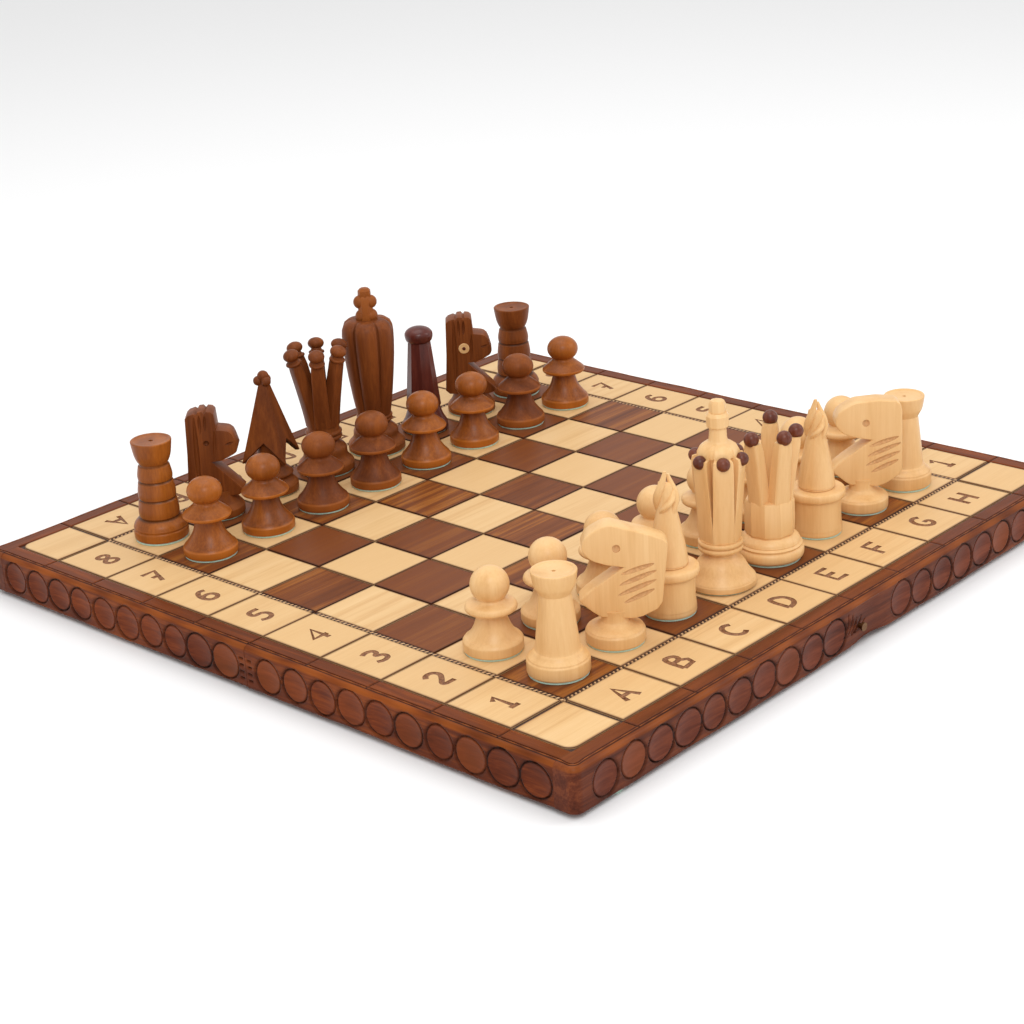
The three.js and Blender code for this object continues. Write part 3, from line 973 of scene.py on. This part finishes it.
def side_rail(half, side, hand):
    file = "a" if hand < 0 else "h"
    first = 15.5 if side > 0 else -15.5 - 9 * RING_PITCH
    row = ring_row(first, 10, 5 + side + 2 * hand)
    rail = carved_rail(f"{half}_carved_side_rail_{file}", straight_walk(side, hand), "frame_y", True, row,
                       0.4 + hand + side)
    settle(rail, f"{half}_half", "frame_wood", f"{half}_side_rail_{file}")


# ---------------------------------------------------------------- men

FOOT = 0.9
PETALS = 6


def foot(radius, rim, softness=0.7):
    """The rim that a man stands on, from its underside to the top of the rim."""
    return ([(0.2, FOOT), (radius - softness, FOOT)] + arc((radius - softness, FOOT + softness), softness,
            -90, 0, 3)[1:] + arc((radius - softness, rim - softness), softness, 0, 60, 3))


def white_pawn_profile():
    head = arc((0, 33.0), (9.2, 8.9), -46, 88, 20)
    return (foot(14.2, 6.4, 1.0) + curve([(13.4, 6.8), (11.4, 8.4), (9.0, 12.0), (7.2, 17.0), (7.0, 19.4)])
            + [(7.4, 20.0)] + curve([(11.0, 20.4), (12.0, 21.2), (12.2, 22.4), (11.4, 23.8), (9.0, 24.6)])
            + curve([(7.2, 25.2), (6.4, 26.1)]) + head)


def brown_pawn_profile():
    head = arc((0, 34.9), (9.2, 7.4), -46, 88, 20)
    return (foot(14.2, 5.4, 0.9) + curve([(13.5, 6.0), (11.6, 8.0), (8.6, 12.4), (6.9, 17.6), (6.6, 20.2)])
            + [(7.2, 20.9)] + curve([(11.0, 20.8), (12.4, 21.4), (12.6, 22.7), (11.6, 23.9), (8.6, 26.4),
                                     (6.6, 28.2), (6.2, 29.4)]) + head)


def pawn_tone(radius, height):
    if height < 5.6:
        return 0.65
    if 20.6 < height < 23.0 and radius > 10:
        return 0.7
    return 0.2 if height > 29.6 else 0.0


def rook_profile():
    return (foot(14.6, 8.2, 1.2) + curve([(13.8, 8.8), (12.2, 10.2), (11.4, 11.4)]) + [(10.5, 11.9)]
            + curve([(10.3, 12.4), (9.5, 20), (8.5, 29), (7.5, 38.0)])
            + curve([(7.3, 38.9), (8.3, 40.8), (9.4, 43.0), (10.1, 46.2), (10.6, 49.6)])
            + arc((10.2, 49.9), 0.4, 0, 90, 3) + curve([(9.2, 50.2), (8.4, 49.8), (5, 49.6), (1.0, 49.5)])
            + [(0.8, 47.6), (0.2, 47.6)])


ROOK_GROOVES = (12.3, 22.6, 32.6, 41.8)


def grooved_rook_profile():
    """The brown rook: taller than the pale one, its body cut into bulging drums by burned grooves."""
    profile = (foot(14.4, 6.4, 1.2) + curve([(14.3, 7.4), (13.4, 9.6), (11.6, 11.6)]) + [(10.6, 12.2)])
    low = 12.4
    for high, start, end in ((22.6, 10.6, 10.0), (32.6, 9.9, 9.2), (41.6, 9.1, 8.2)):
        profile += [(start - 0.6, low + 0.2)]
        profile += curve([(start, low + 0.9), (start + 0.1, (low + high) / 2 - 1), (end + 0.1, high - 0.9)])
        profile += [(end - 0.6, high - 0.2)]
        low = high
    profile += curve([(7.6, 42.2), (8.6, 43.8), (9.6, 46.6), (10.3, 50.4), (10.8, 54.0)])
    return (profile + arc((10.4, 54.3), 0.4, 0, 90, 3)
            + curve([(9.4, 54.7), (8.4, 54.4), (5, 54.2), (1.2, 54.1)]) + [(1.0, 52.4), (0.2, 52.4)])


def groove_burn(radius, height):
    return 0.8 * max(near(height, groove, 0.8) for groove in ROOK_GROOVES)


def rim_tone(radius, height):
    return 0.35 if height < 7.5 and radius > 9 else 0.12


def dome_base(radius, rim, neck, height):
    """A low rounded base that rises to a neck."""
    return (foot(radius, rim) + curve([(radius - 0.4, rim + 0.2), (radius - 3.2, rim + 3.6),
                                       (neck + 3.6, height - 4.6), (neck, height - 1.0), (neck, height)]))


def rings_above(radius, height, count, thick):
    profile = []
    for i in range(count):
        profile += arc((radius - thick / 2, height + thick * (i + 0.5)), thick / 2, -80, 80, 5)
    return profile


def petals(form, rows, phase, flat=0.0, burned=False):
    """A body cut into petals by flutes. A row is (height, petal radius, core radius, half of the flute).

    Flat petals have straight faces; others are rounded across.
    """
    rings = []
    span = pi / PETALS
    shares = [-1, -0.9, -0.72, -0.5, -0.25, 0, 0.25, 0.5, 0.72, 0.9, 1]
    for height, outer, core, flute in rows:
        ring = []
        flute = radians(flute)
        for k in range(PETALS):
            middle = phase + 2 * span * k
            for share in shares:
                offset = share * (span - flute)
                chord = cos(span) / cos(offset)
                rounded = 1 - 0.10 * abs(share) ** 3
                edge = 0.07 if abs(share) == 1 else 0
                radius = core + (outer - core) * (1 - edge)
                radius *= flat * chord + (1 - flat) * rounded
                ring.append((radius * cos(middle + offset), radius * sin(middle + offset), height))
            for share in (-0.7, 0.0, 0.7):
                angle = middle + span + share * flute
                deep = core * (flat * cos(span) + 1 - flat)
                ring.append((deep * cos(angle), deep * sin(angle), height))
        rings.append(ring)
    burn = []
    for height, outer, core, flute in rows:
        groove = 0.3 * min(1.0, (outer - core) / 3) if burned else 0.0
        for k in range(PETALS):
            burn += [0.35 * groove] + [0.0] * (len(shares) - 2) + [0.35 * groove] + [groove] * 3
    ringed(form, rings, burn=burn)


def plank(form, low, high, widths, depths, angle):
    """A prong of a crown, leaning out: low and high are (radius, height) of its middle line."""
    rings = []
    steps = 9
    for i in range(steps):
        t = i / (steps - 1)
        radius = low[0] + (high[0] - low[0]) * t ** 1.15
        height = low[1] + (high[1] - low[1]) * t
        wide = widths[0] + (widths[1] - widths[0]) * t
        deep = depths[0] + (depths[1] - depths[0]) * t
        if i == steps - 1:
            wide, deep = wide * 0.86, deep * 0.86
        ring = []
        for u, v in ((-1, -0.72), (-0.9, -0.9), (-0.72, -1), (0.72, -1), (0.9, -0.9), (1, -0.72),
                     (1, 0.72), (0.9, 0.9), (0.72, 1), (-0.72, 1), (-0.9, 0.9), (-1, 0.72)):
            along, side = radius + u * deep / 2, v * wide / 2
            ring.append((along * cos(angle) - side * sin(angle),
                         along * sin(angle) + side * cos(angle), height))
        rings.append(ring)
    ringed(form, rings)


def crown_angles(count, phase):
    return [phase + 2 * pi * k / count for k in range(count)]


def seen_at(degrees):
    """An angle round Z, counted from the direction of the a1 corner."""
    return radians(VIEWER_ANGLE + degrees)


def white_rook(form):
    turned(form, rook_profile())


def brown_rook(form):
    turned(form, grooved_rook_profile(), tones=rim_tone, burns=groove_burn)


def white_pawn(form):
    turned(form, white_pawn_profile())


def brown_pawn(form):
    turned(form, brown_pawn_profile(), tones=pawn_tone)


QUEEN_PRONGS = ((-49, 12.4, 65.4), (31, 12.2, 66.0), (97, 13.8, 65.0), (168, 11.4, 69.4))


def white_queen(form):
    turned(form, foot(16.9, 7.6, 2.6) + curve([(16.1, 8.4), (15.5, 9.0)]) + [(15.0, 9.3)]
           + curve([(15.1, 9.7), (14.4, 11.4), (12.6, 13.2)]) + [(11.8, 13.6)])
    turned(form, [(11.4, 13.2), (12.0, 13.9), (12.5, 15), (12.6, 22), (12.4, 30.2), (11.7, 31.8), (9, 32.1),
                  (0.2, 32.1)], segments=10, phase=seen_at(18))
    for degrees, radius, height in QUEEN_PRONGS:
        plank(form, (7.2, 31.0), (radius - 1.0, height - 2.2), (9.4, 8.4), (7.8, 6.2), seen_at(degrees))


def white_queen_beads(form):
    for degrees, radius, height in QUEEN_PRONGS:
        angle = seen_at(degrees)
        ball(form, (radius * cos(angle), radius * sin(angle), height), 3.8)


def brown_queen(form):
    turned(form, dome_base(15.9, 5.4, 8.4, 18.5) + rings_above(10.4, 19.0, 2, 2.6)
           + curve([(9.2, 24.6), (9.0, 27), (9.3, 31), (8.2, 34)]) + [(0.2, 34.2)],
           tones=rim_tone)
    for degrees, reach in ((-58, 14.2), (4, 11.6), (66, 12.4), (122, 13.2), (184, 11.4), (-118, 12.6)):
        plank(form, (5.0, 27), (reach, 66.0), (9.4, 7.4), (7.8, 6.2), seen_at(degrees))
        knob(form, seen_at(degrees), reach, 65.0)


def knob(form, angle, radius, height):
    """A flattened bead on a collar, at the tip of a prong and leaning out with it."""
    profile = arc((3.5, 1.2), 1.0, -80, 80, 6) + [(3.1, 2.6)] + arc((0, 6.0), (4.6, 3.4), -52, 88, 12)
    out = Vector((cos(angle), sin(angle), 0))
    tilt = Matrix.Rotation(radians(14), 3, Vector((-out.y, out.x, 0)))
    ringed(form, [[tuple(tilt @ Vector((x, y, z)) + out * radius + Vector((0, 0, height)))
                   for x, y in circle(24, r)] for r, z in profile])


def finial(form, low):
    """The tower on the pale king's crown: a neck, a block and a narrower eight-sided top."""
    turned(form, curve([(5.6, low), (4.7, low + 1.2), (4.3, low + 3.0)]) + [(4.1, low + 7.6)], segments=20)
    turned(form, [(4.3, low + 7.2), (5.4, low + 8.2), (5.7, low + 13.4), (4.7, low + 15.0)], segments=10)
    turned(form, [(4.0, low + 14.4), (4.1, low + 19.2), (3.3, low + 20.8), (0.3, low + 21.3)], segments=8)


def white_king(form):
    profile = (dome_base(17.2, 4.2, 7.8, 17.0) + [(8.4, 17.6)] + rings_above(11.0, 18.4, 2, 2.7)
               + [(10.2, 24.2)])
    turned(form, profile)
    rows = [(23.6, 10.4, 9.6, 0.2), (26, 10.7, 9.8, 0.2), (33, 11.2, 10.2, 0.2), (35.0, 11.3, 9.8, 1.0),
            (38, 11.6, 9.2, 1.8), (42, 12.0, 8.8, 2.8), (50, 12.8, 8.8, 4.4), (58, 13.6, 9.0, 6.0),
            (65.0, 14.0, 9.4, 7.4), (66.6, 13.6, 9.8, 7.8), (67.2, 11.2, 10.6, 8), (69.0, 11.0, 10.8, 8),
            (71.4, 9.6, 9.5, 8), (73.0, 7.2, 7.1, 8), (73.8, 4.6, 4.5, 8), (74.0, 0.4, 0.3, 8)]
    petals(form, rows, seen_at(5), flat=0.8)
    finial(form, 73.2)


def white_king_beads(form):
    for angle in crown_angles(PETALS, seen_at(5)):
        ball(form, (11.6 * cos(angle), 11.6 * sin(angle), 65.6), 3.4)


def brown_king(form):
    profile = dome_base(16.4, 5.2, 9.0, 17.4) + rings_above(10.4, 18.0, 2, 2.0) + [(9.4, 22.4)]
    turned(form, profile, tones=rim_tone)
    rows = [(21.6, 9.8, 9.0, 0.6), (27, 10.8, 9.6, 1.2), (33, 11.8, 10.2, 2.0), (45, 13.4, 11.4, 2.6),
            (56, 14.6, 12.4, 3.0), (64, 15.1, 12.9, 3.0), (70, 15.2, 12.9, 3.0), (73.6, 14.9, 12.6, 3.0),
            (76.2, 13.8, 11.8, 2.6), (78.0, 11.4, 9.8, 2.4), (78.7, 8.4, 7.2, 2.4), (78.4, 4.8, 4.4, 2.4),
            (78.2, 0.4, 0.3, 2.4)]
    petals(form, rows, seen_at(-2), burned=True)
    crown_top(form)


def crown_top(form):
    """The brown king's cross, whittled into rounded lobes round a square post."""
    turned(form, [(4.6, 74.0), (5.2, 76.0), (4.4, 84.0), (4.8, 90.0), (3.4, 92.4)], segments=8,
           phase=seen_at(22.5), tones=lambda r, z: 0.6)
    side = Vector((cos(seen_at(90)), sin(seen_at(90)), 0))
    for reach, height, radius in ((-2.8, 88.4, 3.9), (2.8, 88.4, 3.9), (-2.0, 80.0, 4.2), (2.4, 80.2, 4.2)):
        ball(form, side * reach + Vector((0, 0, height)), radius, tone=0.4)
    turned(form, [(3.4, 91.0), (3.9, 92.4), (3.7, 95.0), (2.4, 96.4), (0.2, 96.6)], segments=7,
           phase=seen_at(10), tones=lambda r, z: 0.45)


def white_bishop(form):
    turned(form, foot(12.9, 4.0, 0.8)[:-2] + curve([(12.9, 3.6), (12.5, 8), (12.4, 14), (12.7, 19.6)])
           + arc((13.6, 22.0), (1.1, 2.2), -80, 80, 8) + curve([(12.2, 24.4), (9.6, 24.6)]))
    turned(form, [(8.6, 24.4)] + arc((8.7, 25.2), 0.5, -60, 60, 4)
           + curve([(9.4, 26), (8.7, 32), (7.3, 40), (5.7, 48), (4.5, 53), (3.8, 57), (3.6, 60),
                    (3.0, 63.4)])
           + [(2.0, 65.0), (0.2, 65.4)])
    twisted_bud(form)


def twisted_bud(form):
    """Slender leaves that wind round the tip of a pale bishop's mitre, each ending at its own height."""
    leaves = ((215, 46, 71.6, 2.3, 2.0), (300, 50, 62.0, 1.9, 3.4), (20, 48, 69.0, 2.0, 2.2),
              (120, 49, 65.5, 2.1, 3.0))
    for start, low, high, fat, spread in leaves:
        rings = []
        for i in range(17):
            t = i / 16
            angle = seen_at(start + 130 * t)
            reach = 3.4 + (spread - 3.4) * t + 1.3 * sin(pi * t) ** 2
            centre = Vector((reach * cos(angle), reach * sin(angle), low + (high - low) * t))
            radius = fat * (0.3 + 0.7 * sin(pi * min(0.97, 0.12 + 0.85 * t)))
            rings.append([(centre.x + x, centre.y + y, centre.z) for x, y in circle(14, radius)])
        ringed(form, rings)


def pointed_bishop(form):
    turned(form, dome_base(13.8, 5.4, 7.8, 16) + [(7.4, 24), (6.8, 34), (0.2, 34)], tones=rim_tone)
    hollow_pyramid(form)
    for angle in crown_angles(3, seen_at(-85)):
        ball(form, (2.9 * cos(angle), 2.9 * sin(angle), 64.4), 2.7)
    ball(form, (0, 0, 66.8), 3.2)


def hollow_pyramid(form):
    """A four-sided pointed skirt, open below, with a pointed arch cut in the foot of each side."""
    low, arch, top = 20.0, 31.0, 63.5
    wide, narrow = 17.6, 3.0
    face = seen_at(-14)

    def at(height):
        return wide - (wide - narrow) * (height - low) / (top - low)

    def square_ring(radius, corner_height, middle_height, middle_radius):
        """Corners, the points between, and the middles of the four sides."""
        ring = []
        for k in range(4):
            corner = face + radians(45 + 90 * k)
            middle = face + radians(90 + 90 * k)
            stops = [Vector((reach * cos(angle), reach * sin(angle), height))
                     for angle, reach, height in ((corner, radius, corner_height),
                                                  (middle, middle_radius, middle_height),
                                                  (corner + radians(90), radius, corner_height))]
            for start, end in zip(stops, stops[1:]):
                ring += [tuple(start.lerp(end, step / 4)) for step in range(4)]
        return ring

    flat = cos(radians(45))
    inner = 2.6
    rings = [square_ring(at(arch) - inner - 1, arch + 3, arch + 7, (at(arch) - inner - 1) * flat),
             square_ring(at(low) - inner, low + 0.4, arch + 0.4, (at(arch) - inner) * flat),
             square_ring(at(low) - 0.5, low, arch, (at(arch) - 0.4) * flat),
             square_ring(at(low), low + 0.5, arch + 0.6, at(arch) * flat)]
    for height in (arch + 4, 41, 49, 57):
        rings.append(square_ring(at(height), height, height, at(height) * flat))
    rings.append(square_ring(at(top), top, top, at(top) * flat))
    rings.append(square_ring(0.4, top + 1, top + 1, 0.4 * flat))
    # Painted shade: the inside of the skirt is darkened with the burn colour, fading out over its lower
    # edge
    burn = [0.9] * 32 + [0.8] * 32 + [0.7] * 32 + [0.0] * (32 * (len(rings) - 3))
    ringed(form, rings, burn=burn)


def capped_bishop(form):
    turned(form, foot(13.6, 5.0) + curve([(13.0, 5.6), (11.4, 8.4), (9.8, 13.0)]) + [(9.2, 15.0)],
           tones=rim_tone)
    turned(form, [(9.6, 14.0), (10.2, 15.4), (6.6, 54.0), (6.0, 54.8)], segments=8)
    turned(form, curve([(6.3, 54.0), (7.6, 55.4), (8.2, 57.6)]) + arc((0.4, 58.6), (7.8, 4.6), 0, 88, 10))


def slab(outline, thickness, name, finish, shift, softness=0.7):
    """A board cut to an outline in the X-Z plane, with softened edges."""
    bm = bmesh.new()
    front = [bm.verts.new((x * MM, -thickness / 2 * MM, z * MM)) for x, z in outline]
    back = [bm.verts.new((x * MM, thickness / 2 * MM, z * MM)) for x, z in outline]
    bm.faces.new(front)
    bm.faces.new(list(reversed(back)))
    count = len(outline)
    for i in range(count):
        j = (i + 1) % count
        bm.faces.new((front[j], front[i], back[i], back[j]))
    bmesh.ops.recalc_face_normals(bm, faces=bm.faces)
    mesh = bpy.data.meshes.new(name)
    bm.to_mesh(mesh)
    bm.free()
    mesh.materials.append(MATERIALS[finish])
    layer = mesh.attributes.new("shift", "FLOAT", "FACE")
    layer.data.foreach_set("value", [shift] * len(mesh.polygons))
    thing = put(name, mesh)
    bevel = thing.modifiers.new("soft_edges", "BEVEL")
    bevel.width = softness * MM
    bevel.segments = 3
    bevel.limit_method = "ANGLE"
    bevel.angle_limit = radians(40)
    bpy.context.view_layer.update()
    apply_modifiers(thing)
    return thing


def peg(form, x, z, sections, finish=0):
    """A solid round a line that runs along Y. A section is (place along Y, radius)."""
    ringed(form, [[(x + u, y, z + v) for u, v in circle(24, size)] for y, size in sections], finish)


def drill(x, z, radius, face, depth, material):
    """A round cutting tool that sinks into one face of a slab lying in the X-Z plane."""
    form = Form()
    out = copysign(1, face)
    peg(form, x, z, ((face + out, radius), (face - out * (depth - 0.6), radius),
                     (face - out * depth, radius * 0.5)))
    return show(form.mesh("drill", [material]))


def gouge(start, end, y, radius, material):
    """A round-ended cutting tool for one groove on a slab's face."""
    form = Form()
    a, b = Vector((start[0], y, start[1])), Vector((end[0], y, end[1]))
    axis = (b - a).normalized()
    side = axis.cross(Vector((0, 1, 0))).normalized()
    rings = []
    length = (b - a).length
    for t in np.linspace(0, 1, 13):
        fat = radius * sin(pi * min(max(t, 0.02), 0.98)) ** 0.5
        centre = a + axis * length * t
        rings.append([tuple(centre + side * fat * u + Vector((0, 1, 0)) * fat * v)
                      for u, v in circle(12)])
    ringed(form, rings)
    return show(form.mesh("gouge", [material]))


def knight_back(name):
    """The two pale knights were sawn freehand: one neck slopes away, the other stays square."""
    if name.endswith("_b"):
        return [(-16, 54.2), (-23.0, 51.2), (-25.0, 49.4), (-24.8, 45.6), (-21.8, 20.4), (-19.6, 17.0),
                (-12.5, 13.8)]
    return [(-8, 60.0), (-17.0, 59.0), (-19.4, 57.4), (-20.2, 53.6), (-20.4, 22.0), (-18.8, 18.6),
            (-12.5, 14.6)]


def carve_cheeks(head, thickness, material, eye, cuts):
    """Drills the eye, as (x, z, radius, depth), and gouges the cuts into both faces of a head."""
    x, z, radius, depth = eye
    for face in (-thickness / 2, thickness / 2):
        carve(head, drill(x, z, radius, face, depth, material))
        for start, end, width in cuts:
            carve(head, gouge(start, end, face, width, material))


def white_knight(form, name):
    thickness = 11.0
    outline = ([(-8, 13.0), (6.6, 14.6)] + curve([(10.5, 17.6), (15.6, 22.4), (15.0, 24.6), (9.6, 29.2)])
               + [(-4.6, 38.6)]
               + curve([(3.4, 40.2), (9.6, 42.8), (13.4, 46.6), (14.0, 50.4), (12.4, 54.2)])
               + curve([(10.4, 55.8), (6.6, 58.0), (3.4, 59.3), (0.6, 59.6)])
               + knight_back(name))
    head = slab(outline, thickness, f"{name}_head", "light", form.shift)
    cuts = (((-3.4, 35.4), (-18.4, 39.8), 1.25), ((-2.4, 30.0), (-19.4, 36.4), 1.25),
            ((-1.6, 25.0), (-19.2, 31.8), 1.25), ((-4.4, 21.2), (-18.2, 27.2), 1.25))
    carve_cheeks(head, thickness, "gouged", (-1.5, 48.2, 1.9, 1.3), cuts)
    profile = foot(14.0, 7.0, 1.0) + curve([(13.2, 7.6), (11.4, 8.6), (8.4, 9.6), (6.6, 11.0)])
    turned(form, profile + curve([(6.3, 12.0), (6.4, 14.6), (6.9, 17)]) + [(0.2, 17.2)])
    return head


def brown_knight(form, name):
    thickness = 13.0
    outline = ([(-12.4, 13.2), (9.0, 12.0)]
               + curve([(12.6, 12.4), (15.0, 14.2), (13.6, 16.8), (-0.6, 31.8)])
               + [(4.6, 32.2)] + curve([(9.0, 34.0), (13.0, 36.4), (14.2, 38.8)]) + [(12.8, 44.4)]
               + curve([(11.8, 46.8), (9.4, 48.6), (3.8, 49.6)])
               + [(3.2, 58.4), (1.8, 59.8), (-0.6, 60.2), (-1.6, 58.9), (-2.8, 60.4), (-5.2, 60.2),
                  (-6.2, 58.6), (-7.4, 59.4), (-10.6, 58.4), (-12.2, 56.8)]
               + [(-13.0, 36), (-14.6, 15.4)])
    head = slab(outline, thickness, f"{name}_head", "deep", form.shift, 0.8)
    flutes = (((-7.4, 57.5), (-8.2, 18.0), 1.4), ((-4.6, 58.5), (-4.8, 48.0), 0.9),
              ((-1.6, 58.0), (-2.0, 49.5), 0.9), ((2.8, 49.2), (1.4, 33.0), 1.0),
              ((12.4, 42.4), (7.6, 41.0), 0.7))
    carve_cheeks(head, thickness, "deep", (-2.2, 42.6, 1.5, 1.6), flutes)
    profile = foot(14.2, 5.4) + curve([(13.4, 6.0), (11.4, 8.6), (9.8, 12.6)]) + [(9.6, 14.6), (0.2, 14.8)]
    turned(form, profile, tones=rim_tone)
    return head


def pale_eye(name, place, turn):
    """The round pale eye let into one brown knight's cheek, with a dark dot."""
    form = Form()
    for face in (-1, 1):
        for radius, depth, finish in ((3.2, 0.45, 0), (1.1, 0.7, 1)):
            high = face * (6.5 + depth)
            peg(form, -2.2, 41.0,
                ((face * 6.2, radius), (high - face * 0.3, radius), (high, radius - 0.3)), finish)
    eye = show(form.mesh(f"{name}_eye", ["light", "bead"]), place, turn)
    settle(eye, name, "light_wood")


def felt_disc(name, place, radius):
    form = Form()
    turned(form, [(0.2, 0.06), (radius - 0.2, 0.06), (radius, 0.25), (radius, 0.9), (radius - 0.2, 1.02),
                  (0.2, 1.02)])
    disc = show(form.mesh(f"{name}_felt", ["felt"]), place)
    settle(disc, name, "felt")


BUILDERS = {
    "white_pawn": white_pawn, "white_rook": white_rook, "white_bishop": white_bishop,
    "white_queen": white_queen, "white_king": white_king,
    "brown_pawn": brown_pawn, "brown_rook": brown_rook, "brown_queen": brown_queen,
    "brown_king": brown_king, "brown_bishop_c": pointed_bishop, "brown_bishop_f": capped_bishop,
}
KNIGHTS = {"white": (white_knight, 134), "brown": (brown_knight, -46)}
BEADS = {"white_queen": white_queen_beads, "white_king": white_king_beads}
FELT_RADIUS = {"pawn": 13.6, "rook": 14.0, "knight": 13.4, "bishop": 12.5, "queen": 15.2, "king": 15.8}

# Brown men whose stain isn't the common one
DEEP_STAINED = ("brown_knight_b", "brown_knight_g", "brown_bishop_c", "brown_queen_d", "brown_king_e",
                "brown_pawn_c", "brown_pawn_d", "brown_pawn_g", "brown_rook_h")
STAINS = {"brown_bishop_f": "plum", **dict.fromkeys(DEEP_STAINED, "deep")}


def make_man(node, index):
    """One man on its square: its wood, a knight's head, a crown's beads, and the felt under it."""
    colour, kind, file = node.split("_")
    sort = f"{colour}_{kind}"
    rank_line = (2.5 if kind == "pawn" else 3.5) * (SQUARE if colour == "brown" else -SQUARE)
    place = ((FILES.index(file) - 3.5) * SQUARE, rank_line, BOARD_TOP)
    common = "light" if colour == "white" else "dark"
    slot = f"{common}_wood"
    form = Form((index * 0.377) % 1.0 + index)
    turn = 0.0
    head = None
    if kind == "knight":
        build_knight, turn = KNIGHTS[colour]
        head = build_knight(form, node)
    else:
        BUILDERS[node if node in BUILDERS else sort](form)
    man = show(form.mesh(f"{node}_wood", [STAINS.get(node, common)]), place, turn)
    if node == "brown_knight_g":
        pale_eye(node, place, turn)
    if head:
        head.location = man.location
        head.rotation_euler = man.rotation_euler
        soften(head, 35)
        settle(head, node, slot)
    settle(man, node, slot, node)
    if sort in BEADS:
        bead_form = Form(form.shift)
        BEADS[sort](bead_form)
        settle(show(bead_form.mesh(f"{node}_beads", ["bead"]), place, turn), node, "dark_wood")
    felt_disc(node, place, FELT_RADIUS[kind])


# ---------------------------------------------------------------- hardware

def dress_frame():
    """Hinges, latch, inner rails and pads keep their own solids and get real finishes."""
    for name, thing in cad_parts.items():
        if name == "latch_stud":
            finish = "old_brass"
        elif name.startswith(("hinge", "latch")):
            finish = "brass"
        elif "fold_rail" in name:
            finish = "frame_x"
        elif "_pad_" in name:
            finish = "felt"
        else:
            continue
        thing.data.materials.clear()
        thing.data.materials.append(MATERIALS[finish])


def build():
    make_camera()
    make_studio()
    dress_frame()
    for half, side in (("front", -1), ("rear", 1)):
        playing_half(half, side)
        rope_line(half, side)
        end_rail(half, side)
        for hand in (-1, 1):
            side_rail(half, side, hand)
    men = [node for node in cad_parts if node.startswith(("white_", "brown_"))]
    for index, node in enumerate(sorted(men)):
        make_man(node, index)


build()
